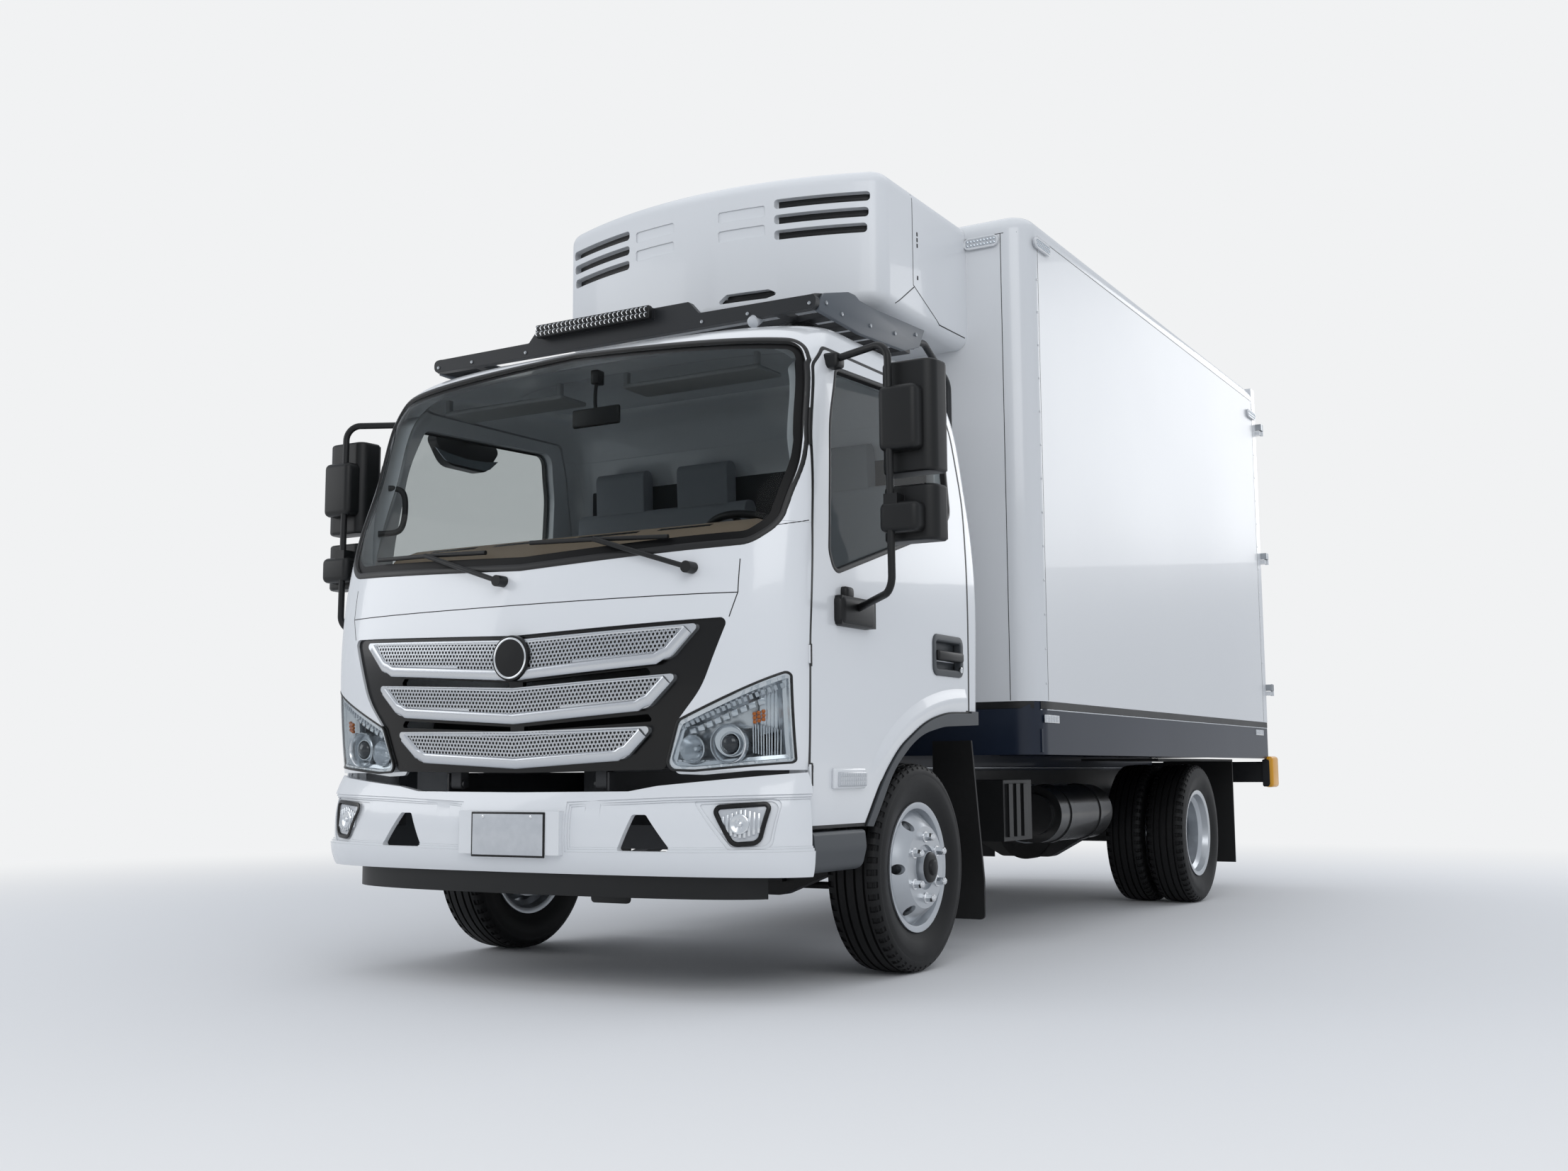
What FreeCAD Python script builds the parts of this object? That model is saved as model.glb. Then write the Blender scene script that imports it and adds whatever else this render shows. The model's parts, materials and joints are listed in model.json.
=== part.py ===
"""Light refrigerated box truck: tilting cab, insulated box, nose-mounted cooling unit.

Millimetres. X is to the vehicle's left, Y to the rear, Z up. Everything is drawn with Y = 0
at the front axle and Z = 0 on the ground; the last step moves every piece along Y so that the
origin lies on the ground at the middle of the overall length.
"""

import FreeCAD, Part

import math
import os

from FreeCAD import Vector

# Wheels and axles
TYRE_R = 383.5
TYRE_W = 211.0
RIM_W = 152.0
BEAD_R = 222.0
FLANGE_R = 238.0
DISC_OFFSET = 115.0
DISC_T = 11.0
STUD_PCD = 222.25
STUD_COUNT = 6
HUB_HOLE_R = 82.0
WHEELBASE = 3610.0
FRONT_HALF_TRACK = 915.0
REAR_OUTER_X = 933.0
KINGPIN_X = 770.0
KINGPIN_R = 18.0
SPINDLE_R = 28.0
FIT = 0.3
AXLE_Z = TYRE_R

# Ladder frame
FRONT_REACH = -1144.0
REAR_REACH = 5105.0
FRAME_FRONT = -960.0
FRAME_REAR = 4900.0
FRAME_HALF_W = 360.0
RAIL_Z0 = 560.0
RAIL_H = 180.0
RAIL_FLANGE = 65.0
RAIL_T = 8.0
RAIL_Z1 = RAIL_Z0 + RAIL_H

# Insulated box
BOX_HALF_W = 1096.0
BOX_FRONT = 1007.0
BOX_REAR = 4988.0
BOX_Z0 = 804.0
BAND_Z1 = 1033.0
BOX_TOP = 3200.0
SIDE_TOP = 3116.0
WALL_T = 80.0
ROOF_T = 84.0
FLOOR_T = 120.0
POST_R = 120.0
POST_FACE = 127.0
POST_SIDE = 42.0
RAIL_R = 70.0
DOOR_FRAME_W = 62.0
DOOR_T = 75.0
DOOR_GAP = 6.0
DOOR_MID_GAP = 10.0
PIN_OUT = 28.0
PIN_BACK = 45.0
LOCK_ROD_R = 13.0

# Cooling unit
UNIT_HALF_W = 800.0
UNIT_FRONT = 15.0
UNIT_CURVE_R = 1985.0
UNIT_CORNER_R = 90.0
UNIT_Z0 = 2608.0
UNIT_TOP = 3182.0
UNIT_SEAM_Y = 460.0

# Cab
CAB_WALL = 55.0
CAB_CURVE = 260.0
BOW_PULL = 0.71
CAB_REAR_R = 90.0
CAB_GAP = 6.0
LATCH_GAP = 7.5
GLASS_T = 5.0
SCREEN_DEPTH = 10.0
SCREEN_REAR = -690.0
DOOR_FRONT = -861.0
DOOR_REAR = 417.0
DOOR_BOTTOM = 555.0
DOOR_TOP = 2222.0
ARCH_R = 485.0
ARCH_TRIM = 45.0
SKIN_HINGE_X = 1034.0
TILT_Y = -1030.0
TILT_Z = 700.0
PANEL_LOW = 742.0
PANEL_TOP = 1560.0
FLOOR_LOW = 785.0
FLOOR_HIGH = 975.0
FLOOR_T_CAB = 30.0

# Front bumper
BUMPER_HALF_W = 1055.0
BUMPER_Z0 = 400.0
BUMPER_TOP = 738.0
BUMPER_MID = 672.0

# Each level of the cab: height, front face at the middle, half width, rear face
CAB_LEVELS = [
    (540, -1060, 1016, 560),
    (900, -1112, 1031, 560),
    (1180, -1121, 1034, 563),
    (1440, -1096, 1034, 568),
    (1800, -1003, 1018, 530),
    (2100, -923, 995, 468),
    (2240, -848, 964, 404),
    (2325, -705, 908, 318),
    (2372, -440, 800, 190),
]


def box(x0, x1, y0, y1, z0, z1):
    """Block between two corners."""
    low = Vector(min(x0, x1), min(y0, y1), min(z0, z1))
    return Part.makeBox(abs(x1 - x0), abs(y1 - y0), abs(z1 - z0), low)


def rod(start, end, radius):
    """Round bar between two points."""
    a = Vector(*start)
    b = Vector(*end)
    return Part.makeCylinder(radius, (b - a).Length, a, b - a)


def mirrored(shape):
    """The same piece on the other side of the vehicle."""
    return shape.mirror(Vector(0, 0, 0), Vector(1, 0, 0))


def both(shape):
    """A piece and its mirror image as two separate solids."""
    return Part.makeCompound([shape, mirrored(shape)])


def joined(shapes):
    """Solids fused into one."""
    result = shapes[0]
    if len(shapes) > 1:
        result = shapes[0].multiFuse(shapes[1:])
    return result.removeSplitter()


PLANES = {
    "yz": lambda a, b: Vector(0, a, b),
    "xz": lambda a, b: Vector(a, 0, b),
    "xy": lambda a, b: Vector(a, b, 0),
}


ARC_SHARE = 0.49


def outline(points, plane):
    """Closed wire through (a, b) or (a, b, corner radius) points, with tangent arcs."""
    place = PLANES[plane]
    count = len(points)
    corners = []
    for i, point in enumerate(points):
        here = Vector(point[0], point[1], 0)
        if len(point) < 3:
            corners.append((here, None, here))
            continue
        back = Vector(*points[i - 1][:2], 0) - here
        ahead = Vector(*points[(i + 1) % count][:2], 0) - here
        room = min(back.Length, ahead.Length) * ARC_SHARE
        back.normalize()
        ahead.normalize()
        half = back.getAngle(ahead) / 2
        reach = min(point[2] / math.tan(half), room)
        radius = reach * math.tan(half)
        middle = back + ahead
        middle.normalize()
        tip = here + middle * (radius / math.sin(half) - radius)
        corners.append((here + back * reach, tip, here + ahead * reach))
    edges = []
    for i, (start, tip, end) in enumerate(corners):
        a = place(start.x, start.y)
        b = place(end.x, end.y)
        c = corners[(i + 1) % count][0]
        c = place(c.x, c.y)
        if tip is not None:
            edges.append(Part.Arc(a, place(tip.x, tip.y), b).toShape())
        if (c - b).Length > 0.001:
            edges.append(Part.LineSegment(b, c).toShape())
    return Part.Wire(edges)


def prism(points, plane, start, end):
    """Outline pushed along the third axis from start to end."""
    face = Part.Face(outline(points, plane))
    along = {"yz": Vector(1, 0, 0), "xz": Vector(0, 1, 0), "xy": Vector(0, 0, 1)}[plane]
    face.translate(along * start)
    return face.extrude(along * (end - start))


def turned(profile, centre, axis=Vector(1, 0, 0), up=Vector(0, 0, 1)):
    """Ring or disc: profile of (distance along axis, radius) turned round the axis."""
    points = [centre + axis * s + up * r for s, r in profile]
    wire = Part.makePolygon(points + [points[0]])
    return Part.Face(wire).revolve(centre, axis, 360)


def pipe(points, radius, bend):
    """Tube bent round the corners of a route, with one bend radius."""
    route = [Vector(*p) for p in points]
    edges = []
    last = route[0]
    for i in range(1, len(route) - 1):
        here = route[i]
        back = (route[i - 1] - here).normalize()
        ahead = (route[i + 1] - here).normalize()
        half = back.getAngle(ahead) / 2
        reach = bend / math.tan(half)
        middle = (back + ahead).normalize()
        start = here + back * reach
        end = here + ahead * reach
        tip = here + middle * (bend / math.sin(half) - bend)
        edges.append(Part.LineSegment(last, start).toShape())
        edges.append(Part.Arc(start, tip, end).toShape())
        last = end
    edges.append(Part.LineSegment(last, route[-1]).toShape())
    path = Part.Wire(edges)
    ring = Part.Wire(Part.makeCircle(radius, route[0], route[1] - route[0]))
    return path.makePipeShell([ring], True, True)


def cab_profile(z):
    """Front face, half width and rear face of the cab at a height."""
    levels = CAB_LEVELS
    if z <= levels[0][0]:
        return levels[0][1:]
    for low, high in zip(levels, levels[1:]):
        if z <= high[0]:
            t = (z - low[0]) / (high[0] - low[0])
            return tuple(a + (b - a) * t for a, b in zip(low[1:], high[1:]))
    return levels[-1][1:]


def cab_section(z, front, half, rear):
    """Plan outline of the cab: a bowed front, straight sides and a flat rounded back."""
    side_y = front + CAB_CURVE
    corner_y = side_y - CAB_CURVE * BOW_PULL
    poles = [
        Vector(half, side_y, z), Vector(half, corner_y, z), Vector(half * BOW_PULL, front, z),
        Vector(0, front, z),
        Vector(-half * BOW_PULL, front, z), Vector(-half, corner_y, z), Vector(-half, side_y, z),
    ]
    bow = Part.BSplineCurve()
    bow.buildFromPolesMultsKnots(poles, [4, 3, 4], [0.0, 0.5, 1.0], False, 3)
    r = CAB_REAR_R
    s = r * (1 - math.sqrt(0.5))
    left = Vector(-half, side_y, z)
    left_low = Vector(-half, rear - r, z)
    left_back = Vector(-half + r, rear, z)
    right_back = Vector(half - r, rear, z)
    right_low = Vector(half, rear - r, z)
    right = Vector(half, side_y, z)
    return Part.Wire([
        bow.toShape(),
        Part.LineSegment(left, left_low).toShape(),
        Part.Arc(left_low, Vector(-half + s, rear - s, z), left_back).toShape(),
        Part.LineSegment(left_back, right_back).toShape(),
        Part.Arc(right_back, Vector(half - s, rear - s, z), right_low).toShape(),
        Part.LineSegment(right_low, right).toShape(),
    ])


CAB_CACHE = {}


def cab_body(inset):
    """The whole cab as one solid, its surface moved inwards by inset."""
    if inset not in CAB_CACHE:
        top = CAB_LEVELS[-1][0]
        bend = 2150.0
        wires = []
        for level in CAB_LEVELS:
            z, front, half, rear = level
            drop = inset * max(0.0, (z - bend) / (top - bend))
            wires.append(cab_section(z - drop, front + inset, half - inset, rear - inset))
        CAB_CACHE[inset] = Part.makeLoft(wires, True, False)
    return CAB_CACHE[inset].copy()


def cab_layer(region, outer, inner):
    """The part of a region that lies between two insets of the cab's surface."""
    return region.common(cab_body(outer)).cut(cab_body(inner))


# Outlines in side view (Y, Z)

def door_outline(gap):
    """Door edge, grown outwards by a gap."""
    g = gap
    return [
        (DOOR_FRONT - g, DOOR_BOTTOM - g),
        (-455 + g * 0.6, DOOR_BOTTOM - g),
        (-341 + g, 718 - g, 700),
        (-206 + g * 0.5, 827 - g, 500),
        (16, 926 - g, 900),
        (207, 962 - g, 850),
        (DOOR_REAR + g, 968 - g),
        (DOOR_REAR + g, 1823, 600),
        (DOOR_REAR - 70 + g, 2110, 400),
        (DOOR_REAR - 150 + g, DOOR_TOP + g, 60),
        (-645 - g * 0.5, DOOR_TOP - 12 + g, 40),
        (-722 - g, 2136, 60),
        (-785 - g, 1863, 900),
        (-833 - g, 1572, 900),
        (DOOR_FRONT - g, 1181, 900),
    ]


def side_window(gap):
    """Door window edge, grown outwards by a gap."""
    g = gap
    return [
        (-727 - g, 1479, 60),
        (-690 - g, 1405 - g, 50),
        (200, 1668 - g, 200),
        (291 + g, 1740 - g, 60),
        (284 + g, 1990, 300),
        (232 + g, 2180 + g, 70),
        (-585 - g * 0.5, 2146 + g, 40),
        (-664 - g, 1958, 500),
        (-709 - g, 1660, 700),
    ]


def windscreen_outline(gap):
    """Windscreen edge in front view (X, Z), grown outwards by a gap."""
    g = gap
    half = [
        (0, 1448 - g),
        (880, 1484 - g, 100),
        (962 + g, 1545, 110),
        (990 + g, 1760, 500),
        (966 + g, 2120, 200),
        (925 + g, 2225 + g, 90),
        (0, 2282 + g),
    ]
    left = [(-p[0],) + p[1:] for p in reversed(half[1:-1])]
    return half + left


def grille_outline(gap):
    """Black grille surround in front view (X, Z)."""
    g = gap
    half = [
        (0, 1212 + g),
        (833 + g, 1240 + g, 20),
        (742 + g, 1010, 300),
        (653 + g, 905, 40),
        (590 + g, 746 - g, 20),
        (0, PANEL_LOW - 4 - g),
    ]
    left = [(-p[0],) + p[1:] for p in reversed(half[1:-1])]
    return half + left


def lamp_outline(gap):
    """Left headlamp in front view (X, Z)."""
    g = gap
    return [
        (600 - g, 746 - g, 25),
        (655 - g, 905 + g, 30),
        (1008, 1062 + g * 1.5, 12),
        (1008, 768 - g, 12),
        (700, 742 - g, 200),
    ]


def tyre(centre_x, centre_y):
    """Plain tyre: flat tread, sloped shoulders and bulged walls."""
    w = TYRE_W / 2
    profile = [
        (-w * 0.84, TYRE_R - 1.5),
        (0, TYRE_R),
        (w * 0.84, TYRE_R - 1.5),
        (w, TYRE_R - 74),
        (w * 0.74, BEAD_R + 20),
        (RIM_W / 2 - 1, BEAD_R + FIT),
        (-RIM_W / 2 + 1, BEAD_R + FIT),
        (-w * 0.74, BEAD_R + 20),
        (-w, TYRE_R - 74),
    ]
    return turned(profile, Vector(centre_x, centre_y, AXLE_Z))


def rim(centre_x, centre_y, disc_side):
    """Steel wheel: dropped centre, two flanges and a pressed disc with hand holes."""
    d = disc_side
    half = RIM_W / 2
    face = DISC_OFFSET
    barrel = [
        (-half - 11, FLANGE_R), (-half - 4, FLANGE_R), (-half, BEAD_R),
        (-half + 30, BEAD_R - 8), (-half + 46, BEAD_R - 30), (half - 60, BEAD_R - 30),
        (half - 40, BEAD_R - 8), (half, BEAD_R), (half + 4, FLANGE_R), (half + 11, FLANGE_R),
        (half + 11, FLANGE_R - 8), (half + 6, BEAD_R - 7), (half - 36, BEAD_R - 16),
        (half - 57, BEAD_R - 37), (-half + 43, BEAD_R - 37), (-half + 26, BEAD_R - 16),
        (-half - 6, BEAD_R - 7), (-half - 11, FLANGE_R - 8),
    ]
    disc = [
        (half - 36, BEAD_R - 12), (half - 26, BEAD_R - 12), (face - 16, 168),
        (face, 150), (face, HUB_HOLE_R), (face - DISC_T, HUB_HOLE_R),
        (face - DISC_T, 146), (face - 26, 160), (half - 36, BEAD_R - 22),
    ]
    centre = Vector(centre_x, centre_y, AXLE_Z)
    barrel = turned([(s * d, r) for s, r in barrel], centre)
    disc = turned([(s * d, r) for s, r in disc], centre)
    holes = []
    for k in range(STUD_COUNT):
        angle = 2 * math.pi * (k + 0.5) / STUD_COUNT
        y = centre_y + 176 * math.sin(angle)
        z = AXLE_Z + 176 * math.cos(angle)
        start = (centre_x + d * (half - 30), y, z)
        holes.append(rod(start, (centre_x + d * (face + 10), y, z), 19))
    return barrel.fuse(disc).cut(Part.makeCompound(holes))


def cab_face_y(x, z):
    """Y of the cab's front surface at a point in front view."""
    front, half, rear = cab_profile(z)
    low = 0.0
    high = 1.0
    for step in range(20):
        t = (low + high) / 2
        u = 1 - t
        share = u ** 3 + 3 * u * u * t + 3 * u * t * t * BOW_PULL
        if share > abs(x) / half:
            low = t
        else:
            high = t
    depth = 3 * u * u * t * BOW_PULL + 3 * u * t * t + t ** 3
    return front + CAB_CURVE * (1 - depth)


# Chassis

def ladder_frame():
    """Two channel rails with cross tubes, a front beam, tow eyes and the cab hinge pins."""
    channel = [
        (FRAME_HALF_W, RAIL_Z0), (FRAME_HALF_W, RAIL_Z1),
        (FRAME_HALF_W - RAIL_FLANGE, RAIL_Z1), (FRAME_HALF_W - RAIL_FLANGE, RAIL_Z1 - RAIL_T),
        (FRAME_HALF_W - RAIL_T, RAIL_Z1 - RAIL_T), (FRAME_HALF_W - RAIL_T, RAIL_Z0 + RAIL_T),
        (FRAME_HALF_W - RAIL_FLANGE, RAIL_Z0 + RAIL_T), (FRAME_HALF_W - RAIL_FLANGE, RAIL_Z0),
    ]
    rail = prism(channel, "xz", FRAME_FRONT, FRAME_REAR)
    ear = box(FRAME_HALF_W - RAIL_T, FRAME_HALF_W, TILT_Y - 22, FRAME_FRONT, TILT_Z - 60, RAIL_Z1)
    pin = rod((FRAME_HALF_W - 70, TILT_Y, TILT_Z), (FRAME_HALF_W - 4, TILT_Y, TILT_Z), 15)
    foot = box(FRAME_HALF_W, TOW_X + 42, FRAME_FRONT + 5, FRAME_FRONT + 35, RAIL_Z0, RAIL_Z0 + 80)
    low = TOW_Z - TOW_T / 2
    high = TOW_Z + TOW_T / 2
    tongue = [(TOW_X - 42, FRAME_FRONT + 35), (TOW_X + 42, FRAME_FRONT + 35),
              (TOW_X + 32, TOW_Y - 32, 28), (TOW_X - 32, TOW_Y - 32, 28)]
    eye = prism(tongue, "xy", low, high)
    eye = eye.cut(rod((TOW_X, TOW_Y, low - 1), (TOW_X, TOW_Y, high + 1), TOW_R))
    side = [rail, ear, pin, foot, eye]
    pieces = side + [mirrored(s) for s in side]
    inner = FRAME_HALF_W - RAIL_T / 2
    middle = RAIL_Z0 + RAIL_H / 2
    for y in (1000, 1500, 2300, WHEELBASE - 620, WHEELBASE + 640, FRAME_REAR - 120):
        pieces.append(rod((-inner, y, middle), (inner, y, middle), 45))
    pieces.append(box(-inner, inner, FRAME_FRONT, FRAME_FRONT + 90, RAIL_Z0, RAIL_Z0 + 70))
    return joined(pieces)


TOW_X = 534.0
TOW_T = 25.0
TOW_Y = -985.0
TOW_Z = 575.0
TOW_R = 15.0


def front_axle():
    """Dropped beam with an eye for each kingpin and a seat for each spring."""
    half = [
        (0, 265), (430, 265, 60), (648, 352, 60), (KINGPIN_X, 352),
        (KINGPIN_X, 414), (640, 414, 60), (425, 325, 60), (0, 325),
    ]
    arm = prism(half, "xz", -34, 34)
    eye = rod((KINGPIN_X, 0, 343), (KINGPIN_X, 0, 423), 42)
    seat = box(SPRING_X0, SPRING_X1, -70, 70, 318, FRONT_SPRING_Z)
    side = [arm, eye, seat]
    beam = joined(side + [mirrored(s) for s in side])
    bores = both(rod((KINGPIN_X, 0, 300), (KINGPIN_X, 0, 470), KINGPIN_R + FIT))
    return beam.cut(bores)


SPRING_X0 = 386.0
SPRING_X1 = 456.0
FRONT_SPRING_Z = 345.0
REAR_SPRING_Z = 442.0
LEAF_STACK = 42.0


def leaf_spring(y, z, half_length, eye_z):
    """Curved leaf stack with a hanger at each end, bolted to the outside of the rail."""
    bottom = Part.Arc(Vector(SPRING_X0, y - half_length, eye_z),
                      Vector(SPRING_X0, y, z),
                      Vector(SPRING_X0, y + half_length, eye_z))
    top = Part.Arc(Vector(SPRING_X0, y + half_length, eye_z + 14),
                   Vector(SPRING_X0, y, z + LEAF_STACK),
                   Vector(SPRING_X0, y - half_length, eye_z + 14))
    ends = [
        Part.LineSegment(bottom.EndPoint, top.StartPoint),
        Part.LineSegment(top.EndPoint, bottom.StartPoint),
    ]
    edges = [bottom, ends[0], top, ends[1]]
    face = Part.Face(Part.Wire([e.toShape() for e in edges]))
    pieces = [face.extrude(Vector(SPRING_X1 - SPRING_X0, 0, 0))]
    for side in (-1, 1):
        end = y + side * half_length
        pieces.append(box(FRAME_HALF_W, SPRING_X1, end - 32, end + 32, eye_z - 12, RAIL_Z0 + 70))
    return joined(pieces)


def leaf_springs():
    """Front and rear springs, four separate solids."""
    front = leaf_spring(0, FRONT_SPRING_Z, 560, RAIL_Z0 - 40)
    rear = leaf_spring(WHEELBASE, REAR_SPRING_Z, 600, RAIL_Z0 - 10)
    return Part.makeCompound([front, rear, mirrored(front), mirrored(rear)])


def rear_axle():
    """Banjo housing, tubes, spindles, spring seats and the propeller shaft."""
    y = WHEELBASE
    tube = rod((-600, y, AXLE_Z), (600, y, AXLE_Z), 56)
    spindles = rod((-REAR_SPINDLE_X, y, AXLE_Z), (REAR_SPINDLE_X, y, AXLE_Z), REAR_SPINDLE_R)
    banjo = turned([(-70, 0), (-70, 120), (-40, 165), (60, 165), (100, 110), (150, 70), (150, 0)],
                   Vector(0, y, AXLE_Z), Vector(0, -1, 0))
    wing = prism([(-330, AXLE_Z - 50), (-150, AXLE_Z - 150, 60), (150, AXLE_Z - 150, 60),
                  (330, AXLE_Z - 50), (330, AXLE_Z + 50), (150, AXLE_Z + 150, 60),
                  (-150, AXLE_Z + 150, 60), (-330, AXLE_Z + 50)], "xz", y - 50, y + 50)
    shaft = rod((0, y - 140, AXLE_Z), (0, GEARBOX_REAR + 2.4, 520), 38)
    seat = box(SPRING_X0, SPRING_X1, y - 70, y + 70, AXLE_Z + 30, REAR_SPRING_Z)
    return joined([tube, spindles, banjo, wing, shaft, seat, mirrored(seat)])


REAR_SPINDLE_R = 45.0
REAR_SPINDLE_X = 850.0
GEARBOX_REAR = 900.0


def engine():
    """Plain block for the engine with the gearbox behind it."""
    block = box(-230, 230, -420, 340, 450, 935)
    gearbox = prism([(330, 480), (GEARBOX_REAR, 440), (GEARBOX_REAR, 600), (330, 720)], "yz", -150, 150)
    web = FRAME_HALF_W - RAIL_T
    mount = box(-web, web, -90, -30, RAIL_Z0 + RAIL_T, RAIL_Z0 + 60)
    return joined([block, gearbox, mount])


def fuel_tank():
    """Rounded tank hung on the right rail."""
    section = [(-920, 380, 70), (-FRAME_HALF_W - 20, 380, 70),
               (-FRAME_HALF_W - 20, 730, 70), (-920, 730, 70)]
    tank = prism(section, "xz", 1300, 2150)
    brackets = [box(-400, -FRAME_HALF_W, y, y + 50, 600, 700) for y in (1420, 1980)]
    return joined([tank] + brackets)


def battery_box():
    """Battery tray behind the left front wheel with a ribbed cover."""
    body = box(560, 900, 1070, 1395, 432, 696)
    ribs = [box(896, 912, y, y + 45, 450, 680) for y in (1105, 1190, 1275)]
    arm = box(FRAME_HALF_W, 564, 1180, 1280, 600, 680)
    return joined([body, arm] + ribs)


def silencer():
    """Exhaust silencer on the left rail with two straps and a tail pipe."""
    x = 690
    y0 = 1966
    y1 = 2711
    z = 525
    drum = rod((x, y0, z), (x, y1, z), 138)
    bands = [rod((x, y, z), (x, y + 40, z), 144) for y in (y0 + 130, y1 - 190)]
    domes = [rod((x, y0 - 30, z), (x, y0 + 1, z), 100), rod((x, y1 - 1, z), (x, y1 + 30, z), 100)]
    arms = [box(FRAME_HALF_W, x, y, y + 40, z + 60, z + 110) for y in (y0 + 130, y1 - 190)]
    return joined([drum] + bands + domes + arms)


BUMPER_LEVELS = [
    (400, -1100, 1058), (450, -1122, 1061), (540, -1130, 1062), (620, -1120, 1061),
    (680, -1100, 1059), (742, -1066, 1055),
]


def bumper_body(inset):
    """Bowed bumper form between its lowest and highest level."""
    rear = DOOR_FRONT + 400
    wires = [cab_section(z, front + inset, half - inset, rear) for z, front, half in BUMPER_LEVELS]
    return Part.makeLoft(wires, True, False)


def front_bumper():
    """Painted bumper with tow-eye openings, fog lamp pockets and a plain plate base."""
    reach = box(-1200, 1200, -1300, DOOR_FRONT - 24, BUMPER_Z0, BUMPER_TOP + 10)
    shell = reach.common(bumper_body(0)).cut(bumper_body(BUMPER_WALL))
    above = prism([(0, BUMPER_MID), (464, BUMPER_MID + 3, 40), (569, BUMPER_MID + 21, 40),
                   (1100, BUMPER_TOP + 2), (1100, 900), (0, 900)], "xz", -1300, -600)
    hole = prism([(487, 599, 12), (539, 599, 12), (636, 481, 8), (430, 481, 8)], "xz", -1300, -900)
    pocket = prism(fog_outline(FIT), "xz", -1300, -900)
    shell = shell.cut(Part.makeCompound([above, mirrored(above)]))
    shell = shell.cut(both(hole)).cut(both(pocket))
    for zone, depth in bumper_recess():
        shell = shell.cut(both(prism(zone, "xz", -1300, -800)).cut(bumper_body(depth)))
    plate = box(-220, 220, FRONT_REACH, FRONT_REACH + 34, 462, 610)
    mount = box(300, FRAME_HALF_W, -1200, FRAME_FRONT, 585, TILT_Z - 62).common(bumper_body(4))
    return largest(joined([shell, plate, mount, mirrored(mount)]))


BUMPER_WALL = 30.0


def bumper_recess():
    """Stepped hollows of the bumper's left half, each an outline in front view and its depth."""
    field = []
    for step, depth in ((0, 4), (9, 8), (16, 11)):
        field.append(([(228 + step, 474 + step), (1150, 484 + step), (1150, 668 - step),
                       (640, 656 - step, 60), (228 + step, 640 - step)], depth))
    scoop = []
    for step, depth in ((0, 14), (9, 17)):
        scoop.append(([(706 + 2 * step, 642 - step, 6), (988 - step, 652 - step, 24),
                       (964 - step, 492 + step, 30), (830 + step, 488 + step, 20)], depth))
    return field + scoop


def fog_outline(gap):
    """Left fog lamp in front view."""
    g = gap
    return [(779 - g, 622 + g, 14), (952 + g, 634 + g, 14), (926 + g, 512 - g, 30), (846 - g, 506 - g, 30)]


def bumper_valance():
    """Black strip under the bumper."""
    plan = Part.Face(cab_section(VALANCE_Z0, -1084, 928, 0))
    inside = Part.Face(cab_section(VALANCE_Z0, -1044, 888, 0))
    height = Vector(0, 0, BUMPER_Z0 - VALANCE_Z0)
    strip = plan.extrude(height).cut(inside.extrude(height))
    return largest(strip.common(box(-1100, 1100, -1200, -915, VALANCE_Z0, BUMPER_Z0)))


VALANCE_Z0 = 326.0


def body_lamps():
    """Fog lamps, box marker lamps and tail lamps, as separate solids."""
    fog = prism(fog_outline(0), "xz", -1300, -900)
    fog = fog.common(bumper_body(13)).cut(bumper_body(BUMPER_WALL))
    front_marker = rounded_bar((BOX_HALF_W - 216, BOX_FRONT - 14, 3085), 160, 48, 14, "x")
    side_low = [rounded_bar((BOX_HALF_W, y, z), 178, 44, 14, "y") for y, z in ((1165, 3074), (4850, 3015))]
    tail = box(720, 1000, BOX_REAR, BOX_REAR + 32, 850, 960)
    side = [fog, front_marker] + side_low + [tail]
    return Part.makeCompound(side + [mirrored(s) for s in side])


def rounded_bar(centre, length, height, depth, run):
    """Oval lamp body standing out of a wall; run is the axis that its length follows."""
    x, y, z = centre
    r = height / 2 - 1
    a = length / 2
    b = height / 2
    points = [(-a, -b, r), (a, -b, r), (a, b, r), (-a, b, r)]
    if run == "x":
        return prism([(x + p[0], z + p[1], p[2]) for p in points], "xz", y, y + depth)
    return prism([(y + p[0], z + p[1], p[2]) for p in points], "yz", x, x + depth)


def mudguards():
    """Front and rear flaps with the covers over the rear twin wheels."""
    front = prism([(770, 140, 20), (990, 140, 20), (990, 300), (944, 860), (770, 860)], "xz", 634, 646)
    stay = box(FRAME_HALF_W, 800, 646, 676, 640, 690)
    front = joined([front, stay])
    flap = box(575, 1003, 4444, 4456, 178, 798)
    cover = prism([(4456, 786), (4456, 798), (2960, 798), (2960, 786)], "yz", 575, 1003)
    hang = box(FRAME_HALF_W, 620, 4420, 4450, 700, 735)
    rear = joined([flap, cover, hang])
    return Part.makeCompound([front, rear, mirrored(front), mirrored(rear)])


BUMPER_BEAM_Y = 4955.0


def rear_bumper():
    """Rear guard beam on two hangers, with a corner guard at each end."""
    beam = box(-1064, 1064, BUMPER_BEAM_Y, REAR_REACH - 30, 655, 785)
    hanger = box(FRAME_HALF_W - 90, FRAME_HALF_W - 20, FRAME_REAR, BUMPER_BEAM_Y, 660, 735)
    guard = prism([(1064, 627, 12), (1108, 627, 28), (1108, 800, 16), (1064, 800, 12)],
                  "xz", BUMPER_BEAM_Y - 15, REAR_REACH)
    return joined([beam, hanger, mirrored(hanger), guard, mirrored(guard)])


# Insulated box

def box_outline(inset):
    """Plan of the box with rounded front corners."""
    i = inset
    r = POST_R - inset if POST_R > inset + 5 else 5
    x = BOX_HALF_W - i
    return [(-x, BOX_FRONT + i, r), (x, BOX_FRONT + i, r), (x, BOX_REAR), (-x, BOX_REAR)]


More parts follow.
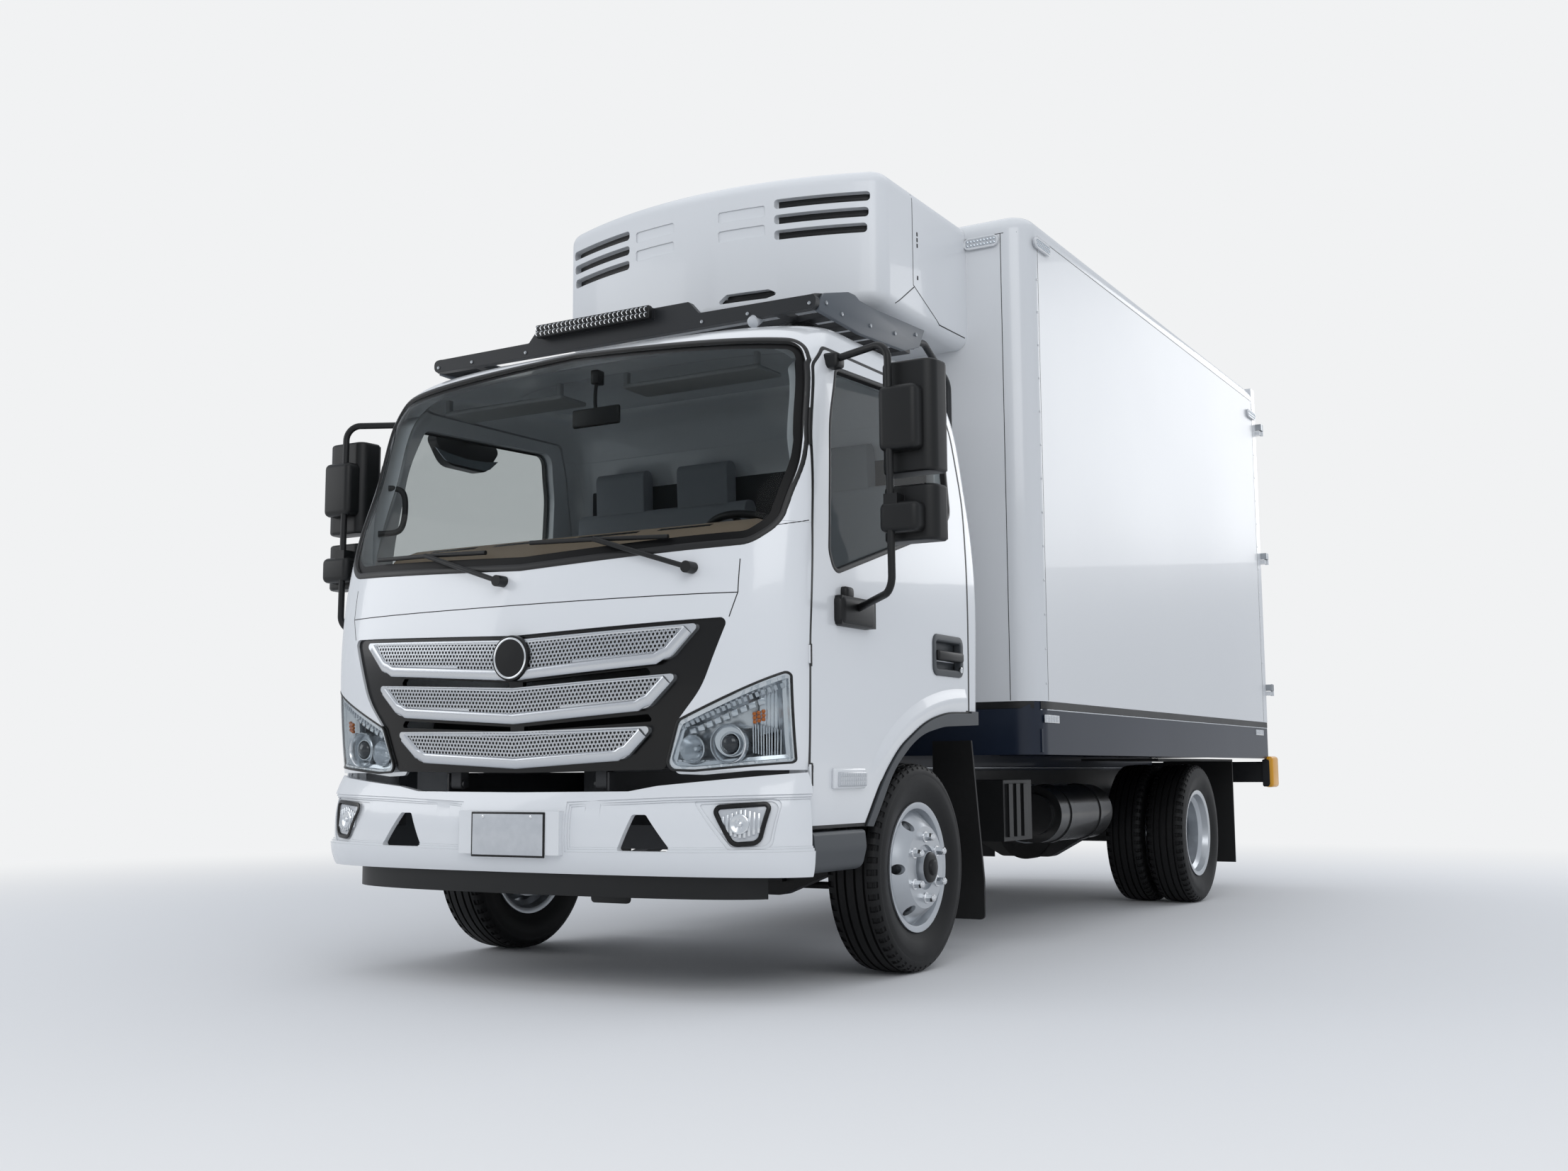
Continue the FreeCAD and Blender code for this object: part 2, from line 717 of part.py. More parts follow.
def box_floor():
    """Insulated floor with its dark edge band and the bearers on the rails."""
    band = prism(box_outline(3), "xy", BOX_Z0, BAND_Z1)
    under = prism(box_outline(14), "xy", BOX_Z0 - 1, BAND_Z1 - FLOOR_T)
    floor = band.cut(under)
    bearers = [box(x0, x0 + 62, BOX_FRONT + 30, FRAME_REAR, RAIL_Z1, BAND_Z1 - FLOOR_T)
               for x0 in (FRAME_HALF_W - 62, -FRAME_HALF_W)]
    count = 7
    for k in range(count):
        y = BOX_FRONT + 60 + k * (BOX_REAR - BOX_FRONT - 190) / (count - 1)
        bearers.append(box(-BOX_HALF_W + 10, BOX_HALF_W - 10, y, y + 60, BOX_Z0 + 10, BAND_Z1 - FLOOR_T))
    deck = box(-DECK_HALF_W, DECK_HALF_W, BOX_FRONT + POST_R + 8, DOOR_FRAME_Y - 6, BAND_Z1, BAND_Z1 + DECK_T)
    return joined([floor, deck] + bearers)


DECK_HALF_W = 1008.0
DECK_T = 8.0


def box_front_wall():
    """Front wall between the corner posts."""
    x = BOX_HALF_W - POST_FACE
    return box(-x, x, BOX_FRONT, BOX_FRONT + WALL_T, BAND_Z1, SIDE_TOP)


def box_side_walls():
    """Left and right walls between the corner post and the door frame."""
    wall = box(BOX_HALF_W - WALL_T, BOX_HALF_W, BOX_FRONT + POST_R, DOOR_FRAME_Y, BAND_Z1, SIDE_TOP)
    return both(wall)


DOOR_FRAME_Y = BOX_REAR - DOOR_T - 12


def box_edges():
    """Rounded corner posts and the roof edge profile, one solid."""
    ring = prism(box_outline(0), "xy", BAND_Z1, SIDE_TOP)
    hollow = prism(box_outline(WALL_T), "xy", BAND_Z1 - 1, SIDE_TOP + 1)
    post_zone = box(BOX_HALF_W - POST_FACE, BOX_HALF_W + 1, BOX_FRONT - 1, BOX_FRONT + POST_R,
                    BAND_Z1, SIDE_TOP)
    posts = ring.cut(hollow).common(both(post_zone))
    curb = prism(box_outline(0), "xy", SIDE_TOP, BOX_TOP)
    rounded = [e for e in curb.Edges if top_outer_edge(e)]
    curb = curb.makeFillet(RAIL_R, rounded)
    core = prism(box_outline(WALL_T), "xy", SIDE_TOP - 1, BOX_TOP + 1)
    back = box(-1200, 1200, DOOR_FRAME_Y, BOX_REAR + 10, SIDE_TOP - 1, BOX_TOP + 1)
    return joined([curb.cut(core).cut(back)] + posts.Solids)


def top_outer_edge(edge):
    """True for the upper front and side edges of the roof edge profile."""
    box_ = edge.BoundBox
    return box_.ZMin > BOX_TOP - 0.1 and box_.YMin < BOX_REAR - 1


def box_roof():
    """Roof panel inside the edge profile."""
    panel = prism(box_outline(WALL_T), "xy", BOX_TOP - ROOF_T, BOX_TOP - 4)
    return panel.common(box(-BOX_HALF_W, BOX_HALF_W, 0, DOOR_FRAME_Y, 0, BOX_TOP))


def box_rear_frame():
    """Portal round the rear doors, with the hinge brackets on its corners."""
    outer = box(-BOX_HALF_W, BOX_HALF_W, DOOR_FRAME_Y, BOX_REAR, BAND_Z1, BOX_TOP)
    opening = box(-BOX_HALF_W + DOOR_FRAME_W, BOX_HALF_W - DOOR_FRAME_W, DOOR_FRAME_Y - 1,
                  BOX_REAR + 1, REAR_DOOR_Z0 - DOOR_GAP, REAR_DOOR_Z1 + DOOR_GAP)
    frame = outer.cut(opening)
    knuckles = []
    for z in REAR_HINGE_Z:
        knuckle = rod((PIN_X, PIN_Y, z - 46), (PIN_X, PIN_Y, z - 16), 11)
        foot = box(BOX_HALF_W - 30, PIN_X, BOX_REAR - 5, PIN_Y, z - 44, z - 18)
        pin = rod((PIN_X, PIN_Y, z - 46), (PIN_X, PIN_Y, z + 30), 6)
        knuckles += [knuckle, foot, pin]
    return joined([frame] + knuckles + [mirrored(k) for k in knuckles])


REAR_DOOR_Z0 = BAND_Z1 + 52
REAR_DOOR_Z1 = BOX_TOP - 80
PIN_X = BOX_HALF_W + PIN_OUT
PIN_Y = BOX_REAR + PIN_BACK
REAR_HINGE_Z = (1250, 2100, 2950)


def rear_door():
    """Left rear door leaf, flush with its frame."""
    return box(DOOR_MID_GAP, BOX_HALF_W - DOOR_FRAME_W - DOOR_GAP, BOX_REAR - DOOR_T, BOX_REAR,
               REAR_DOOR_Z0, REAR_DOOR_Z1)


def lock_gear():
    """Two lock rods with guides and a handle, and the hinge straps of the left rear door."""
    pieces = []
    face = BOX_REAR
    for x in (170, 640):
        pieces.append(rod((x, face + 20, REAR_DOOR_Z0 + 12), (x, face + 20, REAR_DOOR_Z1 - 12), LOCK_ROD_R))
        for z in (REAR_DOOR_Z0 + 90, 1500, 2300, REAR_DOOR_Z1 - 90):
            pieces.append(box(x - 38, x + 38, face, face + 34, z - 22, z + 22))
        pieces.append(box(x - 10, x + 240, face + 12, face + 24, 1548, 1578))
        pieces.append(box(x + 180, x + 236, face, face + 13, 1535, 1590))
    for z in REAR_HINGE_Z:
        strap = box(840, PIN_X, face, face + 8, z - 14, z + 26)
        lift = box(PIN_X - 9, PIN_X + 9, face, PIN_Y, z - 14, z + 26)
        barrel = rod((PIN_X, PIN_Y, z - 14), (PIN_X, PIN_Y, z + 26), 11)
        bore = rod((PIN_X, PIN_Y, z - 20), (PIN_X, PIN_Y, z + 34), 6 + FIT)
        pieces.append(joined([strap, lift, barrel]).cut(bore))
    return joined_groups(pieces)


def joined_groups(pieces):
    """Fuse the pieces that touch and keep the rest as separate solids."""
    result = pieces[0].multiFuse(pieces[1:])
    solids = [s.removeSplitter() if hasattr(s, "removeSplitter") else s for s in result.Solids]
    return Part.makeCompound(solids)


def cooling_unit():
    """Nose-mounted unit: bowed casing with air slots, shallow pads and lower inlets."""
    casing = unit_form(0)
    depth = unit_form(30)
    cuts = []
    for row in range(3):
        z = 3062 - 66 * row
        x1 = 752 - 6 * row
        slot = prism([(366, z - 20, 15), (x1, z - 20, 15), (x1, z + 20, 15), (366, z + 20, 15)],
                     "xz", -100, 500).cut(depth)
        cuts += [slot, mirrored(slot)]
    skin_deep = unit_form(5)
    for z in (3040, 2958):
        pad = prism([(112, z - 23, 10), (325, z - 23, 10), (325, z + 23, 10), (112, z + 23, 10)],
                    "xz", -100, 500).cut(skin_deep)
        cuts += [pad, mirrored(pad)]
    inlet = prism([(100, 2668, 8), (150, 2705, 12), (340, 2705, 12), (385, 2682, 8), (330, 2668, 8)],
                  "xz", -100, 500).cut(depth)
    cuts += [inlet, mirrored(inlet)]
    return casing.cut(Part.makeCompound(cuts))


def unit_form(inset):
    """Casing of the cooling unit as a rounded solid, moved inwards by inset."""
    x = UNIT_HALF_W - inset
    r = UNIT_CURVE_R - inset
    c = UNIT_CORNER_R
    centre_y = UNIT_FRONT + UNIT_CURVE_R
    corner_x = x - c
    corner_y = centre_y - math.sqrt((r - c) ** 2 - corner_x ** 2)
    turn = math.atan2(corner_x, centre_y - corner_y)
    z0 = UNIT_Z0 + inset
    height = UNIT_TOP - UNIT_Z0 - 2 * inset

    def corner(angle, side):
        return Vector(side * (corner_x + c * math.sin(angle)), corner_y - c * math.cos(angle), z0)

    middle = (turn + math.pi / 2) / 2
    back_left = Vector(-x, BOX_FRONT, z0)
    back_right = Vector(x, BOX_FRONT, z0)
    edges = [
        Part.Arc(corner(turn, 1), Vector(0, centre_y - r, z0), corner(turn, -1)),
        Part.Arc(corner(turn, -1), corner(middle, -1), Vector(-x, corner_y, z0)),
        Part.LineSegment(Vector(-x, corner_y, z0), back_left),
        Part.LineSegment(back_left, back_right),
        Part.LineSegment(back_right, Vector(x, corner_y, z0)),
        Part.Arc(Vector(x, corner_y, z0), corner(middle, 1), corner(turn, 1)),
    ]
    wire = Part.Wire([e.toShape() for e in edges])
    solid = Part.Face(wire).extrude(Vector(0, 0, height))
    for radius, level in ((UNIT_TOP_R, z0 + height), (UNIT_LOW_R, z0)):
        rounded = [e for e in solid.Edges if on_level(e, level)]
        solid = solid.makeFillet(radius, rounded)
    return solid


def on_level(edge, level):
    """True for an edge at one height that isn't on the box's front wall."""
    box_ = edge.BoundBox
    flat = abs(box_.ZMin - level) < 0.1 and abs(box_.ZMax - level) < 0.1
    return flat and box_.YMin < BOX_FRONT - 1


UNIT_TOP_R = 60.0
UNIT_LOW_R = 60.0


# Cab

def door_zone(gap):
    """Both door areas pushed through the sides of the cab."""
    return both(prism(door_outline(gap), "yz", 700, 1200))


def screen_hole():
    """Opening for the windscreen pushed through the front of the cab."""
    return prism(windscreen_outline(0), "xz", -1400, SCREEN_REAR)


def largest(shape):
    """The one solid that counts, without slivers."""
    return max(shape.Solids, key=lambda s: s.Volume)


def cab_front_panel():
    """Painted panel under the windscreen with the grille and headlamp openings."""
    region = box(-1100, 1100, -1250, -640, PANEL_LOW, PANEL_TOP)
    lamp = prism(lamp_outline(LAMP_GAP), "xz", -1400, -600)
    for hole in (screen_hole(), prism(grille_outline(GRILLE_GAP), "xz", -1400, -600), both(lamp)):
        region = region.cut(hole)
    region = region.cut(door_zone(CAB_GAP)).cut(both(hinge_pins(0.5)))
    panel = cab_layer(region, 0, CAB_WALL)
    return Part.makeCompound([s for s in panel.Solids if s.Volume > 1e5])


LAMP_GAP = 4.0
GRILLE_GAP = FIT
PILLAR_TOP = 2158.0
SEAM = FIT


def cab_pillars():
    """Windscreen pillars and rear pillars, four separate solids."""
    front = box(600, 1100, -1250, -400, PANEL_TOP + SEAM, PILLAR_TOP)
    rear = box(900 + SEAM, 1100, 300, 700, ARCH_REAR_Z + SEAM, PILLAR_TOP)
    front = cab_layer(front.cut(door_zone(CAB_GAP)).cut(screen_hole()), 0, CAB_WALL)
    rear = cab_layer(rear.cut(door_zone(LATCH_GAP)), 0, CAB_WALL)
    front = largest(front)
    rear = largest(rear)
    return Part.makeCompound([front, rear, mirrored(front), mirrored(rear)])


ARCH_REAR_Z = 970.0


def cab_back():
    """Rear wall between the rear pillars."""
    return cab_layer(box(-900, 900, 200, 700, FLOOR_HIGH - FLOOR_T_CAB, PILLAR_TOP), 0, CAB_WALL)


def cab_roof():
    """Roof panel with the header over the windscreen."""
    region = box(-1100, 1100, -1250, 700, PILLAR_TOP + SEAM, 2400)
    region = region.cut(door_zone(CAB_GAP)).cut(door_zone(LATCH_GAP)).cut(screen_hole())
    return largest(cab_layer(region, 0, CAB_WALL))


def cab_floor():
    """Stepped floor pan: low foot wells, a riser and the high seat base, with the tilt arms."""
    t = FLOOR_T_CAB
    section = [
        (-1150, FLOOR_LOW), (-470, FLOOR_LOW), (-430, FLOOR_HIGH - t, 30), (700, FLOOR_HIGH - t),
        (700, FLOOR_HIGH), (-452, FLOOR_HIGH, 30), (-492, FLOOR_LOW + t, 20), (-1150, FLOOR_LOW + t),
    ]
    pan = prism(section, "yz", -1100, 1100).common(cab_body(CAB_WALL))
    half = SKIN_HINGE_X - CAB_WALL - CAB_GAP - 1
    pan = pan.common(box(-half, half, -1200, 700, 0, 3000))
    lamp_room = both(box(570, 1100, -1250, LAMP_REAR + 4, 0, 1100)).cut(cab_body(LAMP_DEPTH + 4))
    sweep = rod((SKIN_HINGE_X, HINGE_Y, 0), (SKIN_HINGE_X, HINGE_Y, 1100), HINGE_SWEEP)
    pan = pan.cut(lamp_room).cut(both(sweep))
    arm = prism([(TILT_Y - 18, TILT_Z - 18, 12), (TILT_Y + 18, TILT_Z - 18, 12),
                 (TILT_Y + 30, FLOOR_LOW + 5), (TILT_Y - 18, FLOOR_LOW + 5)], "yz", 300, 345)
    arm = arm.cut(rod((280, TILT_Y, TILT_Z), (360, TILT_Y, TILT_Z), 15 + FIT))
    return joined([pan, arm, mirrored(arm)])


HINGE_Y = -868.0
HINGE_SWEEP = 92.0
HINGE_Z = (700.0, 1090.0)
HINGE_H = 60.0
HINGE_R = 5.0


def hinge_pins(gap):
    """Pins on the left door's hinge axis, or with a gap the room that they need."""
    pins = [rod((SKIN_HINGE_X, HINGE_Y, z - gap), (SKIN_HINGE_X, HINGE_Y, z + HINGE_H + gap), HINGE_R + gap)
            for z in HINGE_Z]
    return Part.makeCompound(pins)


def windscreen():
    """Curved glass bonded into its opening."""
    region = prism(windscreen_outline(-FIT), "xz", -1400, SCREEN_REAR).cut(door_zone(CAB_GAP))
    return largest(cab_layer(region, SCREEN_DEPTH, SCREEN_DEPTH + GLASS_T))


def grille():
    """Black surround of the grille with its two long air slots."""
    region = prism(grille_outline(0), "xz", -1400, -700)
    slots = []
    for z in (1046, 893):
        half = [(30, z - 12), (560, z + 12, 8), (540, z + 36, 8), (30, z + 4)]
        slots.append(prism(half, "xz", -1400, -700))
    slots += [mirrored(s) for s in slots]
    return cab_layer(region.cut(Part.makeCompound(slots)), 10, 30)


GRILLE_BARS = [
    [(0, 1196), (747, 1222, 12), (640, 1108, 60), (0, 1054)],
    [(0, 1030), (670, 1060, 12), (556, 948, 60), (0, 905)],
    [(0, 880), (571, 889, 12), (455, 782, 50), (0, 753)],
]


def grille_bars():
    """Three bright bars with a sunk mesh field each, and the plain round badge."""
    pieces = []
    for bar in GRILLE_BARS:
        left = [(-p[0],) + p[1:] for p in reversed(bar[1:3])]
        region = prism(bar[:3] + bar[3:] + left, "xz", -1400, -700)
        pieces.append(cab_layer(region, -10, 9.7))
    disc = rod((0, -1160, BADGE_Z), (0, -1090, BADGE_Z), BADGE_R)
    hollow = disc.common(cab_body(9.7))
    badge = disc.common(cab_body(-20)).cut(hollow)
    return joined_groups(pieces + [badge])


BADGE_Z = 1133.0
BADGE_R = 77.0


def headlamp_lenses():
    """Clear covers of the two headlamps."""
    lens = cab_layer(prism(lamp_outline(0), "xz", -1400, LAMP_REAR), 0, GLASS_T)
    return both(largest(lens))


def headlamp_housings():
    """Trays behind the covers, each with a projector barrel."""
    rim_zone = prism(lamp_outline(0), "xz", -1400, LAMP_REAR).cut(prism(lamp_outline(-12), "xz", -1400, -700))
    walls = cab_layer(rim_zone, GLASS_T, LAMP_DEPTH)
    back = cab_layer(prism(lamp_outline(-11), "xz", -1400, LAMP_REAR), LAMP_DEPTH - 12, LAMP_DEPTH)
    barrel = cab_layer(rod((812, -1100, 838), (812, LAMP_REAR, 838), 52), 30, LAMP_DEPTH - 6)
    flange_zone = prism(lamp_outline(14), "xz", -1400, LAMP_REAR).cut(prism(lamp_outline(-6), "xz", -1400, -700))
    flange = cab_layer(flange_zone, CAB_WALL, CAB_WALL + 12)
    tray = joined([largest(walls), largest(back), largest(barrel), largest(flange)])
    return both(largest(tray))


LAMP_DEPTH = 112.0
LAMP_REAR = -880.0
WHEEL_CENTRE = (510.0, -330.0, 1580.0)
COLUMN_TILT = math.radians(30)
STEER_WHEEL_R = 215.0
COLUMN_R = 30.0


def column_point(distance):
    """Point on the steering column, measured down from the steering wheel's centre."""
    x, y, z = WHEEL_CENTRE
    return (x, y - distance * math.sin(COLUMN_TILT), z - distance * math.cos(COLUMN_TILT))


def dashboard():
    """Instrument panel across the cab, with the steering column through it."""
    section = [(-1200, 1150), (-1200, 1428), (-720, 1436, 50), (-640, 1370, 40),
               (-650, 1250, 40), (-760, 1150, 40)]
    panel = prism(section, "yz", -1100, 1100).common(cab_body(CAB_WALL))
    half = SKIN_HINGE_X - CAB_WALL - CAB_GAP - 1
    panel = panel.common(box(-half, half, -1200, 700, 0, 3000))
    sweep = rod((SKIN_HINGE_X, HINGE_Y, 0), (SKIN_HINGE_X, HINGE_Y, 2000), HINGE_SWEEP)
    panel = panel.cut(both(sweep))
    floor_point = (WHEEL_CENTRE[2] - FLOOR_LOW - FLOOR_T_CAB) / math.cos(COLUMN_TILT)
    column = rod(column_point(60), column_point(floor_point - 24), COLUMN_R)
    cowl = rod(column_point(120), column_point(420), 55)
    x = WHEEL_CENTRE[0]
    binnacle = prism([(-720, 1180, 20), (-520, 1180, 40), (-430, 1400, 40), (-560, 1492, 60),
                      (-720, 1460, 20)], "yz", x - 90, x + 90)
    return joined([panel, column, cowl, binnacle])


def steering_wheel():
    """Rim, three spokes and a hub that turns on the column."""
    axis = Vector(0, math.sin(COLUMN_TILT), math.cos(COLUMN_TILT))
    centre = Vector(*WHEEL_CENTRE)
    ring = Part.makeTorus(STEER_WHEEL_R - 15, 15, centre, axis)
    hub = rod(column_point(-8), column_point(60 - FIT), 52)
    spokes = []
    across = Vector(1, 0, 0)
    down = axis.cross(across)
    for angle in (0, 180, 270):
        a = math.radians(angle)
        end = centre + (across * math.cos(a) + down * math.sin(a)) * (STEER_WHEEL_R - 16)
        spokes.append(rod(tuple(centre), tuple(end), 13))
    return joined([ring, hub] + spokes)


def seats():
    """Driver's seat and the double passenger seat, each on a base."""
    result = []
    for x0, x1 in ((285, 745), (-830, 60)):
        base = box(x0 + 40, x1 - 40, -60, 330, FLOOR_HIGH, 1180)
        cushion = prism([(-150, 1180, 40), (330, 1180), (330, 1300, 30), (-150, 1330, 60)], "yz", x0, x1)
        back = prism([(250, 1240, 20), (395, 1240, 20), (425, 1500, 300), (400, 1900, 40),
                      (310, 1900, 40), (300, 1500, 300)], "yz", x0, x1)
        parts = [base, cushion, back]
        places = [(x0 + x1) / 2] if x1 - x0 < 600 else [x0 + 225, x1 - 225]
        for x in places:
            parts.append(prism([(320, 1890), (390, 1890), (385, 2080, 35), (310, 2080, 35)],
                               "yz", x - 130, x + 130))
        result.append(joined(parts))
    return Part.makeCompound(result)


RACK_HALF_W = 905.0
RACK_FRONT = -560.0


def roof_rack():
    """Roof rack: front board with a lamp bar, two side plates, slats and feet."""
    board = [(0, 2384), (RACK_HALF_W, 2384, 25), (RACK_HALF_W, 2436, 20), (405, 2440, 10),
             (360, 2490, 10), (0, 2490)]
    left = [(-p[0],) + p[1:] for p in reversed(board[1:-1])]
    front = prism(board + left, "xz", RACK_FRONT - 15, RACK_FRONT + 15)
    lamp = box(-332, 205, RACK_FRONT - 55, RACK_FRONT - 15, 2446, 2488)
    plate = prism([(RACK_FRONT - 10, 2384, 8), (RACK_FRONT - 10, 2440, 15), (-480, 2462, 40),
                   (294, 2520, 8), (262, 2424, 8), (-400, 2392, 40)], "yz",
                  RACK_HALF_W - 24, RACK_HALF_W - 12)
    pieces = [front, lamp, plate, mirrored(plate)]
    for k in range(5):
        y = RACK_FRONT + 150 + k * 145
        pieces.append(box(-RACK_HALF_W + 14, RACK_HALF_W - 14, y, y + 55, 2398, 2420))
    for y in (-390, 60):
        foot = box(700, 760, y, y + 60, 2340, 2400).cut(cab_body(0))
        pieces += [foot, mirrored(foot)]
        rail = box(690, 770, y - 20, y + 80, 2396, 2404)
        pieces += [rail, mirrored(rail)]
    tube = pipe([(880, 200, 2452), (880, 380, 2478), (880, 612, 2360), (880, 612, 1500), (880, 520, 1440)],
                14, 60)
    pieces.append(tube.cut(cab_body(-FIT)))
    spine = box(700, 740, RACK_FRONT + 10, 200, 2398, 2420)
    pieces += [spine, mirrored(spine)]
    return joined(pieces)


def lower_trims():
    """Dark wheel-arch trims, and the entry steps hung from the floor under the doors."""
    seat_y = DOOR_REAR + LATCH_GAP + 6
    arch = [
        (-461, 549, 4), (-341, 712, 700), (-206, 821, 500), (16, 920, 850), (207, 956, 850),
        (seat_y, 962), (seat_y, ARCH_REAR_Z), (518, ARCH_REAR_Z), (518, 918),
        (170, 905, 700), (-60, 868, 600), (-262, 742, 400), (-405, 545, 4),
    ]
    trim = cab_layer(prism(arch, "yz", 930, 1200).cut(door_zone(CAB_GAP)), -8, CAB_WALL)
    step = prism([(890, 404, 20), (1026, 404, 40), (1046, 480, 60), (1040, 539, 14), (890, 539)],
                 "xz", DOOR_FRONT, -500)
    hanger = box(890, 930, -700, -640, 530, FLOOR_LOW)
    step = joined([step, hanger])
    return Part.makeCompound([largest(trim), step, mirrored(largest(trim)), mirrored(step)])


def wipers():
    """Two parked wipers: pivot, arm and blade."""
    result = []
    for x in (700, -70):
        z = 1408
        pivot = rod((x, cab_face_y(x, z) - 46, z), (x, cab_face_y(x, z) + 20, z), 20)
        elbow_x = x - 380
        elbow_z = 1530
        a = (x, cab_face_y(x, z) - 36, z)
        b = (elbow_x, cab_face_y(elbow_x, elbow_z) - 34, elbow_z)
        arm = rod(a, b, 9)
        blade = []
        for side in (-1, 1):
            end_x = elbow_x + side * 285
            end_z = elbow_z + side * -10
            tip = (end_x, cab_face_y(end_x, end_z) - 16, end_z)
            blade.append(rod((elbow_x, b[1] + 12, elbow_z), tip, 8))
        result.append(joined([pivot, arm] + blade).cut(cab_body(-FIT)))
    return Part.makeCompound(result)


# Doors

def cab_door():
    """Left door: outer skin to inner trim, with its window opening and handle."""
    region = prism(door_outline(0), "yz", 700, 1200).cut(prism(side_window(0), "yz", 700, 1200))
    leaf = cab_layer(region, 0, CAB_WALL)
    pocket = prism([(92, 1108, 25), (350, 1108, 25), (350, 1248, 25), (92, 1248, 25)], "yz", 700, 1200)
    leaf = leaf.cut(pocket.cut(cab_body(26)))
    bar = box(1000, 1042, 120, 344, 1160, 1192)
    hinges = [box(990, 1012, DOOR_FRONT - CAB_GAP + FIT, DOOR_FRONT + 10, z, z + HINGE_H) for z in HINGE_Z]
    webs = [box(SKIN_HINGE_X - 12, SKIN_HINGE_X - 1, HINGE_Y + 2, DOOR_FRONT + 10, z, z + HINGE_H) for z in HINGE_Z]
    return joined([largest(leaf), bar] + hinges + webs + hinge_pins(0).Solids)


DOOR_GLASS_IN = 22.0


def door_glass():
    """Left door glass held in the window opening."""
    region = prism(side_window(0), "yz", 700, 1200)
    return largest(cab_layer(region, DOOR_GLASS_IN, DOOR_GLASS_IN + GLASS_T))


MIRROR_X = 1300.0
MIRROR_Y = -620.0


def mirror_arm():
    """Left mirror set: bent arm on two brackets with a large and a small head."""
    arm = pipe([(1004, -625, 2168), (1256, -712, 2176), (1262, -712, 1330), (1040, -560, 1290)], 13, 60)
    arm = arm.cut(cab_body(-FIT))
    top = box(970, 1030, -650, -600, 2142, 2186).cut(cab_body(-FIT))
    low = box(1000, 1062, -692, -440, 1232, 1330).cut(cab_body(-FIT))
    heads = []
    for z0, z1, depth in ((1732, 2117, 105), (1500, 1690, 95)):
        shell = [(1205, MIRROR_Y - depth / 2, 40), (1400, MIRROR_Y - depth / 2, 45),
                 (1410, MIRROR_Y + depth / 2, 15), (1198, MIRROR_Y + depth / 2, 15)]
        heads.append(soft_ends(prism(shell, "xy", z0, z1), 12))
        heads.append(box(1240, 1290, -725, MIRROR_Y, (z0 + z1) / 2 - 60, (z0 + z1) / 2 + 60))
    return joined([arm, top, low] + heads)


def soft_ends(shape, radius):
    """The shape with the level edges of its ends rounded."""
    return shape.makeFillet(radius, [e for e in shape.Edges if e.BoundBox.ZLength < 0.01])


def kerb_mirror():
    """Half-moon mirror over the passenger's door window, looking down at the kerb."""
    bowl = prism([(-410, 2190, 25), (40, 2190, 25), (-60, 2060, 90), (-310, 2060, 90)], "yz", -1112, -1062)
    arm = box(-1070, -940, -205, -165, 2172, 2188).cut(cab_body(-FIT))
    return joined([bowl, largest(arm)])


# Wheels and steering

def front_wheel(side):
    """Front rim with its hub and drum."""
    x = side * FRONT_HALF_TRACK
    wheel = rim(x, 0, side)
    hub = [(-75, SPINDLE_R + FIT), (-75, 165), (28, 165), (40, 90), (80, 90), (80, 140),
           (DISC_OFFSET - DISC_T + 0.5, 140), (DISC_OFFSET - DISC_T + 0.5, 62),
           (DISC_OFFSET + 18, 58), (DISC_OFFSET + 18, 0), (66, 0), (66, SPINDLE_R + FIT)]
    core = turned([(s * side, r) for s, r in hub], Vector(x, 0, AXLE_Z))
    return joined([wheel, core])


def rear_wheels(side):
    """Two rims bolted back to back on one hub."""
    outer_x = side * REAR_OUTER_X
    inner_x = side * (REAR_OUTER_X - 2 * DISC_OFFSET)
    outer = rim(outer_x, WHEELBASE, -side)
    inner = rim(inner_x, WHEELBASE, side)
    face = REAR_OUTER_X - DISC_OFFSET
    t = DISC_T
    hub = [(face - t - 150, REAR_SPINDLE_R + FIT), (face - t - 150, 165), (face - t - 40, 165),
           (face - t - 20, 140), (face - t, 140), (face - t, 74), (face + 90, 70), (face + 90, 0),
           (REAR_SPINDLE_X + 4, 0), (REAR_SPINDLE_X + 4, REAR_SPINDLE_R + FIT)]
    core = turned([(s * side, r) for s, r in hub], Vector(0, WHEELBASE, AXLE_Z))
    return joined([outer, inner, core])


TIE_Y = 170.0
TIE_Z = 292.0


def knuckle():
    """Left steering knuckle: kingpin fork, spindle and steering arm."""
    x = KINGPIN_X
    pin = rod((x, 0, 312), (x, 0, 454), KINGPIN_R)
    upper = prism([(x - 42, -42, 20), (x + 68, -42), (x + 68, 42), (x - 42, 42, 20)], "xy", 424, 456)
    lower = prism([(x - 42, -42, 20), (x + 68, -42), (x + 68, 42), (x - 42, 42, 20)], "xy", 310, 342)
    web = box(x + 44, x + 68, -42, 42, 310, 456)
    spindle = rod((x + 60, 0, AXLE_Z), (FRONT_HALF_TRACK + 62, 0, AXLE_Z), SPINDLE_R)
    arm = prism([(x - 22, 0), (x + 22, 0), (x + 20, TIE_Y + 20, 18), (x - 20, TIE_Y + 20, 18)],
                "xy", 310, 334)
    eye = rod((x, TIE_Y, 300), (x, TIE_Y, 344), 9 + FIT)
    return joined([pin, upper, lower, web, spindle, arm]).cut(eye)


def tie_rod():
    """Rod that joins the two steering arms, with a pin at each end."""
    x = KINGPIN_X
    bar = rod((-x, TIE_Y, TIE_Z), (x, TIE_Y, TIE_Z), 14)
    pin = rod((x, TIE_Y, TIE_Z), (x, TIE_Y, 340), 9)
    head = rod((x, TIE_Y, TIE_Z - 16), (x, TIE_Y, 309.5), 20)
    return joined([bar, pin, head, mirrored(pin), mirrored(head)])


